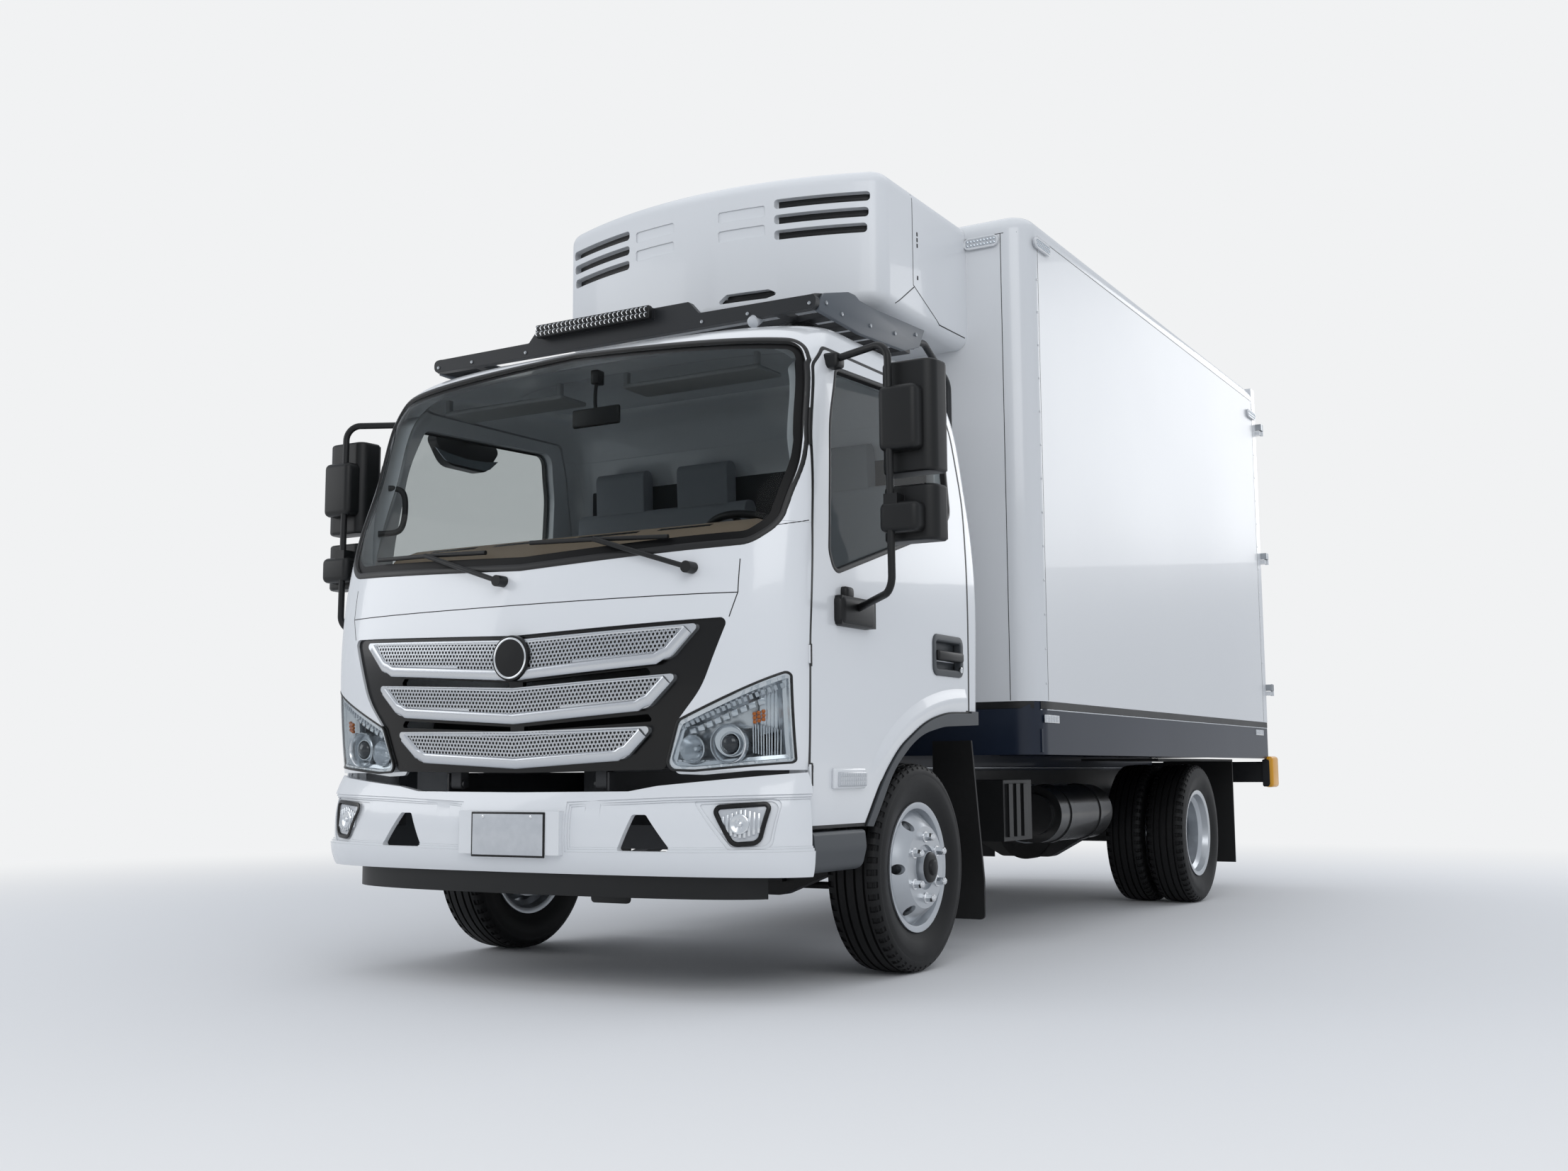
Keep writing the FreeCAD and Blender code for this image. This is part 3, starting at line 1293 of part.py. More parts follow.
def model():
    """Every sub-part by name, drawn with the front axle at Y = 0."""
    parts = {
        "ladder_frame": ladder_frame(),
        "front_axle": front_axle(),
        "leaf_springs": leaf_springs(),
        "rear_axle": rear_axle(),
        "engine": engine(),
        "fuel_tank": fuel_tank(),
        "battery_box": battery_box(),
        "silencer": silencer(),
        "front_bumper": front_bumper(),
        "bumper_valance": bumper_valance(),
        "body_lamps": body_lamps(),
        "mudguards": mudguards(),
        "rear_bumper": rear_bumper(),
        "box_floor": box_floor(),
        "box_front_wall": box_front_wall(),
        "box_side_walls": box_side_walls(),
        "box_edges": box_edges(),
        "box_roof": box_roof(),
        "box_rear_frame": box_rear_frame(),
        "cooling_unit": cooling_unit(),
        "cab_floor": cab_floor(),
        "cab_back": cab_back(),
        "cab_pillars": cab_pillars(),
        "cab_roof": cab_roof(),
        "cab_front_panel": cab_front_panel(),
        "windscreen": windscreen(),
        "grille": grille(),
        "grille_bars": grille_bars(),
        "headlamp_lenses": headlamp_lenses(),
        "headlamp_housings": headlamp_housings(),
        "dashboard": dashboard(),
        "seats": seats(),
        "roof_rack": roof_rack(),
        "lower_trims": lower_trims(),
        "wipers": wipers(),
        "steering_wheel": steering_wheel(),
        "tie_rod": tie_rod(),
    }
    leaf = rear_door()
    gear = lock_gear()
    door = cab_door()
    glass = door_glass()
    mirror = mirror_arm()
    left_knuckle = knuckle()
    for side, name in ((1, "left"), (-1, "right")):
        def placed(shape):
            return shape if side > 0 else mirrored(shape)
        parts["rear_door_" + name] = placed(leaf)
        parts["lock_gear_" + name] = placed(gear)
        parts["cab_door_" + name] = placed(door)
        parts["door_glass_" + name] = placed(glass)
        parts["mirror_" + name] = placed(mirror) if side > 0 else joined_groups([mirrored(mirror), kerb_mirror()])
        parts["knuckle_" + name] = placed(left_knuckle)
        parts["front_rim_" + name] = front_wheel(side)
        parts["front_tyre_" + name] = tyre(side * FRONT_HALF_TRACK, 0)
        parts["rear_rims_" + name] = rear_wheels(side)
        inner = REAR_OUTER_X - 2 * DISC_OFFSET
        pair = [tyre(side * REAR_OUTER_X, WHEELBASE), tyre(side * inner, WHEELBASE)]
        parts["rear_tyres_" + name] = Part.makeCompound(pair)
    return parts


PARTS = model()
SHIFT = -(FRONT_REACH + REAR_REACH) / 2
os.makedirs("parts", exist_ok=True)
for name, shape in PARTS.items():
    shape.translate(Vector(0, SHIFT, 0))
    shape.exportStep("parts/" + name + ".step")
print("front axle at Y =", round(SHIFT, 3))
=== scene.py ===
# %% [markdown]
# # A light refrigerated truck
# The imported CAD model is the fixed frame. This lesson gives every part its real finish and adds
# what a stylist or a body shop would add: seals, lamp optics, tread, nuts, seams and fittings.
# Everything is in metres. X is the truck's left, Y its rear and Z up.

import json
import math

import bmesh
import bpy
from mathutils import Matrix, Vector
from mathutils.bvhtree import BVHTree


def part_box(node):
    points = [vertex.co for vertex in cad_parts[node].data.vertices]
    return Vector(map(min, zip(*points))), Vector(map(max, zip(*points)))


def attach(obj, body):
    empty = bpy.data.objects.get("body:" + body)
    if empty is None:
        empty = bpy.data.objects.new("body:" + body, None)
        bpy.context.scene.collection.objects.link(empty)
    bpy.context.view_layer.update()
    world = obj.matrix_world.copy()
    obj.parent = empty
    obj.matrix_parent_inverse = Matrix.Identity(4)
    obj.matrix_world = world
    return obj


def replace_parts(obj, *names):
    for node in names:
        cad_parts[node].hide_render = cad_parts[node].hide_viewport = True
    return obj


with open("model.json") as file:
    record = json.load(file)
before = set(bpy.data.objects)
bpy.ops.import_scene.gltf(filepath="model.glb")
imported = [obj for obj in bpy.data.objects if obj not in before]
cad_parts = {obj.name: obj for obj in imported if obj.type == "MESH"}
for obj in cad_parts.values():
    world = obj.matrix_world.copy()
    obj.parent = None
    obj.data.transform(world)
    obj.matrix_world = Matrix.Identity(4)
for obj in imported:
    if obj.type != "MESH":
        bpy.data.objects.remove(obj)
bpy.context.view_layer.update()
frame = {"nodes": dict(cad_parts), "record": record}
NODES = frame["nodes"]
BODY_OF = {node: body for body, nodes in frame["record"]["behaviour"]["bodies"].items() for node in nodes}
SIDES = (("left", 1), ("right", -1))
print("nodes", len(NODES))

# %% [markdown]
# The sizes below are read from the frame or are real sizes in millimetres. `at` turns a point
# measured from the front axle, in millimetres, into the scene's metres.

# %% Places measured from the front axle
TYRE_LOW, TYRE_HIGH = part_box("front_tyre_left")
AXLE_Y = (TYRE_LOW[1] + TYRE_HIGH[1]) / 2
HUB_Z = (TYRE_LOW[2] + TYRE_HIGH[2]) * 500
WHEELBASE = 3610


def at(x, y, z):
    """Point in millimetres from the front axle's middle on the ground, as scene metres."""
    return Vector((x / 1000, y / 1000 + AXLE_Y, z / 1000))


def middle_of(node):
    """Middle of a CAD node's box."""
    low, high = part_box(node)
    return (Vector(low) + Vector(high)) / 2


# %% [markdown]
# ## Camera
# The photo was taken from 0.73 m above the floor with a slightly long lens, looking up a little.
# The camera's place and angles were fitted to the wheels and the box's edges.

# %% Camera
CAMERA_MM = (3603, -5430, 734)
CAMERA_YAW = math.radians(30.29)
CAMERA_PITCH = math.radians(6.68)
CAMERA_ROLL = math.radians(-0.35)

camera_data = bpy.data.cameras.new("photo_camera")
camera_data.lens = 36.66
camera_data.sensor_width = 36
camera_data.sensor_fit = "HORIZONTAL"
camera = bpy.data.objects.new("photo_camera", camera_data)
bpy.context.scene.collection.objects.link(camera)
forward = Vector((-math.sin(CAMERA_YAW) * math.cos(CAMERA_PITCH),
                  math.cos(CAMERA_YAW) * math.cos(CAMERA_PITCH), math.sin(CAMERA_PITCH)))
level_right = Vector((math.cos(CAMERA_YAW), math.sin(CAMERA_YAW), 0))
level_up = level_right.cross(forward)
right = level_right * math.cos(CAMERA_ROLL) + level_up * math.sin(CAMERA_ROLL)
up = level_up * math.cos(CAMERA_ROLL) - level_right * math.sin(CAMERA_ROLL)
view = Matrix((right, up, -forward)).transposed().to_4x4()
camera.matrix_world = Matrix.Translation(at(*CAMERA_MM)) @ view
bpy.context.scene.camera = camera

# %% [markdown]
# ## Colours and nodes
# A paint shop names its colours by code, so each colour here is a plain sRGB code that one
# function turns into the linear numbers that light works with. A second function adds a node,
# sets it and links it, so each material reads from top to bottom.

# %% Colour and node helpers


def colour(code):
    """Linear colour of an sRGB hex code."""
    values = [int(code[i:i + 2], 16) / 255 for i in (0, 2, 4)]
    linear = [v / 12.92 if v <= 0.04045 else ((v + 0.055) / 1.055) ** 2.4 for v in values]
    return (*linear, 1.0)


def add(tree, kind, links=None, **settings):
    """A node with its settings; links gives each input a value or another node's socket."""
    node = tree.nodes.new(kind)
    for name, value in settings.items():
        setattr(node, name, value)
    for name, value in (links or {}).items():
        if isinstance(value, bpy.types.NodeSocket):
            tree.links.new(value, node.inputs[name])
        else:
            node.inputs[name].default_value = value
    return node


def emptied(owner):
    """Node tree of a material or world, without its first nodes."""
    owner.use_nodes = True
    owner.node_tree.nodes.clear()
    return owner.node_tree


# %% [markdown]
# ## Stage and light
# A pale seamless floor and a pale surround, with four large soft lamps: the key high in front on
# the truck's left, a weaker one on its right, one from above and one behind. The surround is bright
# only to the camera and through glass, so the white paint keeps its shading.

# %% Floor and surround
FLOOR_RADIUS = 40.0
PALE = "f1f2f3"
FADE_FROM = 3.2
FADE_TO = 9.5

bm = bmesh.new()
bmesh.ops.create_circle(bm, cap_ends=True, radius=FLOOR_RADIUS, segments=96)
floor_mesh = bpy.data.meshes.new("floor")
bm.to_mesh(floor_mesh)
bm.free()
floor = bpy.data.objects.new("floor", floor_mesh)
bpy.context.scene.collection.objects.link(floor)

floor_paint = bpy.data.materials.new("pale_studio_floor")
tree = emptied(floor_paint)
grain = add(tree, "ShaderNodeTexNoise", {"Scale": 1.5, "Detail": 3.0})
tone = add(tree, "ShaderNodeMix", {"Factor": grain.outputs["Fac"], "A": colour("e2e3e5"),
                                   "B": colour("e9eaec")}, data_type="RGBA")
matt = add(tree, "ShaderNodeBsdfPrincipled", {"Base Color": tone.outputs[2], "Roughness": 0.75})
glow = add(tree, "ShaderNodeEmission", {"Color": colour(PALE), "Strength": 1.0})
place = add(tree, "ShaderNodeTexCoord").outputs["Object"]
reach = add(tree, "ShaderNodeVectorMath", {0: place}, operation="LENGTH")
far = add(tree, "ShaderNodeMapRange", {"Value": reach.outputs["Value"], "From Min": FADE_FROM,
                                       "From Max": FADE_TO}, interpolation_type="SMOOTHSTEP")
path = add(tree, "ShaderNodeLightPath").outputs
bounce = add(tree, "ShaderNodeMath", {0: path["Is Glossy Ray"], 1: path["Is Transmission Ray"]},
             operation="MAXIMUM")
shown = add(tree, "ShaderNodeMath", {0: path["Is Camera Ray"], 1: bounce.outputs[0]}, operation="MAXIMUM")
seen = add(tree, "ShaderNodeMath", {0: shown.outputs[0], 1: far.outputs[0]}, operation="MULTIPLY")
blend = add(tree, "ShaderNodeMixShader", {0: seen.outputs[0], 1: matt.outputs[0], 2: glow.outputs[0]})
add(tree, "ShaderNodeOutputMaterial", {"Surface": blend.outputs[0]})
floor_mesh.materials.append(floor_paint)

world = bpy.data.worlds.new("studio")
bpy.context.scene.world = world
tree = emptied(world)
path = add(tree, "ShaderNodeLightPath").outputs
direct = add(tree, "ShaderNodeMath", {0: path["Is Camera Ray"], 1: path["Is Transmission Ray"]},
             operation="MAXIMUM")
dim = add(tree, "ShaderNodeBackground", {"Color": colour("e6ebf2"), "Strength": 0.76})
bright = add(tree, "ShaderNodeBackground", {"Color": colour(PALE), "Strength": 1.0})
mixed = add(tree, "ShaderNodeMixShader", {0: direct.outputs[0], 1: dim.outputs[0], 2: bright.outputs[0]})
add(tree, "ShaderNodeOutputWorld", {"Surface": mixed.outputs[0]})

# %% Lamps
LAMPS = [
    ("key", (5200, -6200, 5600), (6.0, 4.0), 150),
    ("fill", (-6500, -4500, 3600), (5.0, 3.5), 85),
    ("top", (0, 1200, 8200), (8.0, 10.0), 105),
    ("rear", (3500, 9500, 4200), (5.0, 3.0), 90),
]
LAMP_TARGET = at(0, 900, 1500)

for name, place, (width, height), power in LAMPS:
    light = bpy.data.lights.new(name, "AREA")
    light.shape = "RECTANGLE"
    light.size = width
    light.size_y = height
    light.energy = power
    lamp = bpy.data.objects.new(name, light)
    bpy.context.scene.collection.objects.link(lamp)
    position = at(*place)
    aim = (LAMP_TARGET - position).to_track_quat("-Z", "Y").to_matrix().to_4x4()
    lamp.matrix_world = Matrix.Translation(position) @ aim
bpy.context.scene.view_settings.view_transform = "Standard"

# %% [markdown]
# ## Finishes
# Most of a truck is one of a few kinds of finish: sprayed and baked enamel, gelcoat over glass
# fibre, black chassis paint, moulded plastic, rubber and bright metal. One builder serves them
# all: a base colour with slow patches of a second tone, a fine grain that moves the roughness
# and lifts a small bump, and a softened edge, since no real edge is perfectly sharp.

# %% Finish builder


def finish(name, code, second, rough, step, metal=0.0, coat=0.0, patch=500, grain=4, bump=0.0, edge=0.0,
           shine=0.5):
    """Material in two tones; patch, grain, bump height and edge radius are in millimetres."""
    made = bpy.data.materials.new(name)
    tree = emptied(made)
    place = add(tree, "ShaderNodeTexCoord").outputs["Object"]
    patches = add(tree, "ShaderNodeTexNoise", {"Vector": place, "Scale": 1000 / patch, "Detail": 4.0})
    fine = add(tree, "ShaderNodeTexNoise", {"Vector": place, "Scale": 1000 / grain, "Detail": 2.0})
    tones = add(tree, "ShaderNodeMix", {"Factor": patches.outputs["Fac"], "A": colour(code),
                                        "B": colour(second)}, data_type="RGBA")
    spread = add(tree, "ShaderNodeMapRange", {"Value": patches.outputs["Fac"], "To Min": rough - step,
                                              "To Max": rough + step})
    shader = add(tree, "ShaderNodeBsdfPrincipled",
                 {"Base Color": tones.outputs[2], "Metallic": metal, "Roughness": spread.outputs[0],
                  "Coat Weight": coat, "Coat Roughness": 0.04, "Specular IOR Level": shine})
    normal = None
    if edge:
        normal = add(tree, "ShaderNodeBevel", {"Radius": edge / 1000}, samples=4).outputs[0]
    if bump:
        links = {"Height": fine.outputs["Fac"], "Strength": 1.0, "Distance": bump / 1000}
        if normal:
            links["Normal"] = normal
        normal = add(tree, "ShaderNodeBump", links).outputs[0]
    if normal:
        tree.links.new(normal, shader.inputs["Normal"])
    add(tree, "ShaderNodeOutputMaterial", {"Surface": shader.outputs[0]})
    return made


# %% [markdown]
# The cab's white is a solid enamel under clear lacquer: cool, glossy, with the faintest orange
# peel. The box is gelcoat on glass-fibre panels, less glossy and a touch greyer, and the cooling
# unit's covers are moulded and painted, with softer reflections.

# %% White finishes
cab_enamel = finish("white_cab_enamel", "e3e5e8", "dfe2e5", 0.22, 0.03,
                    coat=0.6, patch=900, grain=14, bump=0.05, edge=2.5)
box_gelcoat = finish("white_gelcoat_panel", "dfe1e3", "dadcdf", 0.36, 0.05,
                     coat=0.2, patch=1400, grain=22, bump=0.1, edge=3)
unit_cover = finish("white_moulded_cover", "e1e3e6", "dcdfe2", 0.3, 0.04,
                    coat=0.3, patch=700, grain=10, bump=0.05, edge=3)
edge_alloy = finish("white_painted_alloy_profile", "dcdee1", "d6d9dc", 0.24, 0.05,
                    coat=0.4, patch=800, grain=12, bump=0.04, edge=3)

# %% [markdown]
# Chassis steel is painted black and dulled by dust, so it shows as soft dark shapes; forgings and
# castings are rougher. Wheels have a silver enamel with metal flakes. Only the trim strips, the
# nuts and the lamp bowls are bright, and the zinc on the lock gear is a flat, patchy grey.

# %% Dark and metal finishes
navy_band = finish("navy_band_enamel", "1b2434", "161e2d", 0.34, 0.04,
                   coat=0.1, patch=900, grain=16, bump=0.04, edge=3, shine=0.3)
chassis_paint = finish("black_chassis_paint", "17181a", "26272a", 0.42, 0.1,
                       patch=220, grain=5, bump=0.25, edge=3)
forged_iron = finish("black_forged_iron", "1b1b1c", "2b2a29", 0.55, 0.1, patch=120, bump=0.5, edge=4)
spring_steel = finish("painted_spring_steel", "202123", "2f2f30", 0.45, 0.1,
                      patch=140, grain=5, bump=0.3, edge=2)
engine_iron = finish("grey_engine_casting", "4b4d50", "5a5b5d", 0.6, 0.08,
                     patch=150, grain=5, bump=0.6, edge=6)
tank_paint = finish("black_tank_paint", "141517", "1d1e20", 0.28, 0.06,
                    coat=0.3, patch=300, grain=9, bump=0.1, edge=3)
silencer_paint = finish("black_heatproof_paint", "131314", "1e1e1f", 0.3, 0.08,
                        coat=0.2, patch=160, grain=6, bump=0.15, edge=2)
wheel_enamel = finish("silver_wheel_enamel", "c3c7cb", "b6babf", 0.3, 0.05,
                      metal=0.75, patch=160, grain=3, bump=0.04, edge=2)
lamp_silver = finish("lamp_reflector_silver", "dde0e3", "cfd3d7", 0.2, 0.05, metal=0.8, patch=60, edge=1)
chrome = finish("polished_chrome", "e6e8ea", "dfe1e3", 0.07, 0.02, metal=1.0, edge=1)
alloy_strip = finish("satin_alloy_strip", "cdd0d4", "c3c6ca", 0.24, 0.05,
                     metal=0.85, patch=300, grain=3, bump=0.02, edge=2)
lock_steel = finish("galvanised_steel", "a9adb1", "94989c", 0.36, 0.1,
                    metal=0.9, patch=60, bump=0.08, edge=1.5)
rack_paint = finish("black_powder_coat", "1b1d20", "232528", 0.45, 0.06,
                    patch=300, grain=2.5, bump=0.12, edge=2, shine=0.4)
plate_paint = finish("slate_powder_coat", "4a5057", "545a61", 0.42, 0.06,
                     patch=300, grain=2.5, bump=0.12, edge=2)
guard_paint = finish("yellow_guard_paint", "e8a60c", "d89706", 0.34, 0.06,
                     coat=0.2, patch=200, grain=6, bump=0.1, edge=3)

# %% [markdown]
# Moulded trim has a leather grain that kills its gloss, and the grille surround is smoother. Rubber
# is nearly black and shows only where light grazes it. The dashboard is a warm tan, the seats are
# woven grey cloth, and the back wall has a darker felt. Lamp covers are clear or dyed acrylic.

# %% Plastic, rubber and cloth finishes
gloss_black = finish("gloss_black_moulding", "070708", "0b0b0c", 0.26, 0.04,
                     coat=0.1, patch=300, grain=6, bump=0.03, edge=2, shine=0.3)
matt_black = finish("matt_black_moulding", "0e0f10", "131415", 0.42, 0.06,
                    patch=200, grain=1.6, bump=0.12, edge=3, shine=0.35)
grey_trim = finish("dark_grey_moulding", "3c4044", "44484c", 0.46, 0.06,
                   patch=300, grain=1.8, bump=0.12, edge=3)
tyre_rubber = finish("black_tyre_rubber", "0c0c0d", "131314", 0.55, 0.08,
                     patch=90, grain=3, bump=0.2, shine=0.3)
flap_rubber = finish("black_flap_rubber", "0c0c0d", "121213", 0.55, 0.1, patch=200, bump=0.3, edge=2)
# Matt near-black for the caps behind the grille holes: painted shade, standing in for the shadow inside each
# hole.
hole_shade_black = finish("painted_hole_shade", "050506", "070708", 0.85, 0.05, patch=100, grain=2)
seal_rubber = finish("black_window_seal", "060607", "0a0a0b", 0.42, 0.06,
                     patch=200, grain=3, bump=0.05, edge=1.5)
dash_moulding = finish("tan_dashboard_moulding", "a18d78", "ad9984", 0.6, 0.06,
                       patch=300, grain=2, bump=0.2, edge=6)
visor_cloth = finish("light_grey_cloth", "8d8f90", "989a9b", 0.75, 0.06,
                     patch=200, grain=1.5, bump=0.3, edge=4)
seat_cloth = finish("grey_seat_cloth", "8e9297", "999da2", 0.8, 0.06, patch=240, grain=1.6, bump=0.4, edge=8)
lining_felt = finish("charcoal_lining_felt", "2e3134", "36393c", 0.85, 0.05,
                     patch=300, grain=1.5, bump=0.3, edge=6)
floor_mat = finish("charcoal_floor_mat", "2a2b2d", "323335", 0.7, 0.06, patch=200, grain=5, bump=0.6, edge=3)
amber_lens = finish("amber_lens", "c8690a", "b85c06", 0.12, 0.03, coat=0.5, patch=40, bump=0.3)
red_lens = finish("red_lens", "8e0f12", "7b0a0d", 0.14, 0.03, coat=0.5, patch=40, bump=0.3)
pearl_lens = finish("clear_lens_over_white", "c9ccd0", "b4b8bd", 0.14, 0.04, coat=0.6, patch=30, bump=0.3)
smoked_lens = finish("smoked_projector_lens", "1a1e24", "101318", 0.04, 0.01, coat=1.0, patch=30, grain=5)
fired_border = finish("black_fired_border", "0a0a0b", "0e0e0f", 0.38, 0.04, patch=200, grain=3, shine=0.15)
mirror_silver = finish("mirror_silver", "c9d0d6", "c9d0d6", 0.03, 0.01, metal=1.0)

# %% [markdown]
# Glass is thin, slightly tinted and clear, so it is a transparent tint with a glossy skin. The
# skin is left out where a ray leaves the glass, or the two faces of a pane would both reflect and
# the cab would look black from the side.

# %% Glass


def glazing(name, code, clear):
    """Thin glass: a transparent tint, with a glossy surface by Fresnel where a ray enters it."""
    made = bpy.data.materials.new(name)
    tree = emptied(made)
    tint = add(tree, "ShaderNodeBsdfTransparent", {"Color": colour(code)})
    place = add(tree, "ShaderNodeTexCoord").outputs["Object"]
    haze = add(tree, "ShaderNodeTexNoise", {"Vector": place, "Scale": 3.0, "Detail": 3.0})
    film = add(tree, "ShaderNodeMapRange", {"Value": haze.outputs["Fac"], "To Min": 0.0, "To Max": 0.03})
    skin_shader = add(tree, "ShaderNodeBsdfPrincipled", {"Base Color": colour("06080a"),
                                                         "Roughness": film.outputs[0]})
    facing = add(tree, "ShaderNodeFresnel", {"IOR": 1.5})
    share = add(tree, "ShaderNodeMapRange", {"Value": facing.outputs[0], "From Max": 1.0,
                                             "To Min": 1.0 - clear, "To Max": 1.0})
    leaving = add(tree, "ShaderNodeNewGeometry").outputs["Backfacing"]
    entering = add(tree, "ShaderNodeMath", {0: 1.0, 1: leaving}, operation="SUBTRACT")
    outer = add(tree, "ShaderNodeMath", {0: share.outputs[0], 1: entering.outputs[0]}, operation="MULTIPLY")
    both = add(tree, "ShaderNodeMixShader", {0: outer.outputs[0], 1: tint.outputs[0],
                                             2: skin_shader.outputs[0]})
    add(tree, "ShaderNodeOutputMaterial", {"Surface": both.outputs[0]})
    return made


window_glass = glazing("tinted_window_glass", "e6e8e8", 0.95)
door_window = glazing("clear_door_glass", "f0f2f2", 0.95)
lamp_glass = glazing("clear_lamp_cover", "f7f9fa", 0.96)

# %% [markdown]
# ## Smooth surfaces on the CAD pieces
# A CAD mesh is loose flat triangles. A small Geometry Nodes group joins them by distance and
# smooths every edge that turns less than a limit, so pressed panels reflect as one surface and
# cut edges stay crisp. The mesh itself isn't touched.

# %% Smoothing group
SMOOTH_LIMIT = math.radians(32)
WELD_M = 0.00002

smoother = bpy.data.node_groups.new("join_and_smooth", "GeometryNodeTree")
smoother.interface.new_socket("Geometry", in_out="INPUT", socket_type="NodeSocketGeometry")
smoother.interface.new_socket("Geometry", in_out="OUTPUT", socket_type="NodeSocketGeometry")
start = add(smoother, "NodeGroupInput")
plain = add(smoother, "GeometryNodeRemoveAttribute", {"Geometry": start.outputs[0], "Name": "custom_normal"})
joined = add(smoother, "GeometryNodeMergeByDistance", {"Geometry": plain.outputs[0], "Distance": WELD_M})
soft = add(smoother, "GeometryNodeSetShadeSmooth", {0: joined.outputs[0]}, domain="FACE")
turning = add(smoother, "GeometryNodeInputMeshEdgeAngle")
sharp = add(smoother, "FunctionNodeCompare", {0: turning.outputs["Unsigned Angle"], 1: SMOOTH_LIMIT},
            operation="GREATER_THAN")
crisp = add(smoother, "GeometryNodeSetShadeSmooth", {0: soft.outputs[0], "Selection": sharp.outputs[0],
                                                     "Shade Smooth": False}, domain="EDGE")
add(smoother, "NodeGroupOutput", {0: crisp.outputs[0]})

# %% Give every node its finish
FINISH_OF = {
    "ladder_frame": chassis_paint, "front_axle": forged_iron, "leaf_springs": spring_steel,
    "rear_axle": forged_iron, "engine": engine_iron, "fuel_tank": tank_paint, "battery_box": matt_black,
    "silencer": silencer_paint, "front_bumper": cab_enamel, "bumper_valance": matt_black,
    "body_lamps": pearl_lens, "mudguards": flap_rubber, "rear_bumper": chassis_paint,
    "box_floor": navy_band, "box_front_wall": box_gelcoat, "box_side_walls": box_gelcoat,
    "box_edges": edge_alloy, "box_roof": box_gelcoat, "box_rear_frame": edge_alloy,
    "cooling_unit": unit_cover, "cab_floor": floor_mat, "cab_back": cab_enamel, "cab_pillars": cab_enamel,
    "cab_roof": cab_enamel, "cab_front_panel": cab_enamel, "windscreen": window_glass,
    "grille": gloss_black, "grille_bars": alloy_strip, "headlamp_lenses": lamp_glass,
    "headlamp_housings": lamp_silver, "dashboard": dash_moulding, "roof_rack": rack_paint,
    "lower_trims": grey_trim, "wipers": matt_black, "steering_wheel": matt_black, "tie_rod": forged_iron,
    "rear_door": box_gelcoat, "lock_gear": lock_steel, "cab_door": cab_enamel, "door_glass": door_window,
    "mirror": matt_black, "knuckle": forged_iron, "front_rim": wheel_enamel, "rear_rims": wheel_enamel,
    "front_tyre": tyre_rubber, "rear_tyres": tyre_rubber, "seats": seat_cloth,
}

for node, obj in NODES.items():
    paint = FINISH_OF[node.removesuffix("_left").removesuffix("_right")]
    if obj.material_slots:
        for material_slot in obj.material_slots:
            material_slot.link = "OBJECT"
            material_slot.material = paint
    else:
        obj.data.materials.append(paint)
    smoothing = obj.modifiers.new("join_and_smooth", "NODES")
    smoothing.node_group = smoother
print("finishes set on", len(NODES), "nodes")

# %% [markdown]
# ## Making pieces
# New pieces start as a bmesh, get their body, and have their faces smoothed
# by angle. `shaped` does that once for all of them. Blocks and turned shapes make most fittings.

# %% Piece helpers


def shaped(bm, name, material, body, smooth_deg=35):
    """Mesh object from a bmesh, smoothed by angle, riding on a body."""
    bmesh.ops.remove_doubles(bm, verts=bm.verts, dist=WELD_M)
    bmesh.ops.recalc_face_normals(bm, faces=bm.faces)
    mesh = bpy.data.meshes.new(name)
    for face in bm.faces:
        face.smooth = True
    for edge in bm.edges:
        edge.smooth = not (len(edge.link_faces) == 2 and edge.calc_face_angle(0) > math.radians(smooth_deg))
    bm.to_mesh(mesh)
    bm.free()
    mesh.materials.append(material)
    obj = bpy.data.objects.new(name, mesh)
    bpy.context.scene.collection.objects.link(obj)
    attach(obj, body)
    return obj


def edges_of(verts):
    """Edges that meet at the vertices, in the same order each run."""
    return list(dict.fromkeys(e for v in verts for e in v.link_edges))


def rounded(bm, edges, bevel_mm, segments):
    """Edges rounded off by a bevel."""
    bmesh.ops.bevel(bm, geom=edges, offset=bevel_mm / 1000, offset_type="OFFSET", segments=segments,
                    profile=0.5, affect="EDGES", clamp_overlap=True, material=-1)


def block(bm, corner, opposite, bevel_mm, segments=3):
    """Block between two corners in millimetres from the axle, with its edges rounded."""
    low = at(*map(min, corner, opposite))
    high = at(*map(max, corner, opposite))
    made = bmesh.ops.create_cube(bm, size=1.0)["verts"]
    bmesh.ops.scale(bm, verts=made, vec=high - low)
    bmesh.ops.translate(bm, verts=made, vec=(low + high) / 2)
    rounded(bm, edges_of(made), bevel_mm, segments)


def blocks(rows, sign=1):
    """Mesh of blocks, each two corners, a bevel and its segments; a sign of -1 mirrors X."""
    bm = bmesh.new()
    for corner, opposite, *rounding in rows:
        block(bm, (sign * corner[0], *corner[1:]), (sign * opposite[0], *opposite[1:]), *rounding)
    return bm


def lathe(bm, profile, centre, axis, steps=48):
    """Ring or disc: (distance along the axis, radius) pairs in millimetres, spun round it."""
    axis = Vector(axis).normalized()
    side = axis.orthogonal().normalized()
    verts = [bm.verts.new(centre + axis * (s / 1000) + side * (r / 1000)) for s, r in profile]
    edges = [bm.edges.new(pair) for pair in zip(verts, verts[1:])]
    bmesh.ops.spin(bm, geom=verts + edges, cent=centre, axis=axis, angle=math.tau, steps=steps,
                   use_merge=True)


def turned(profile, centres, axis, steps):
    """Mesh of one turned shape at one or more places."""
    bm = bmesh.new()
    for centre in centres:
        lathe(bm, profile, centre, axis, steps)
    return bm


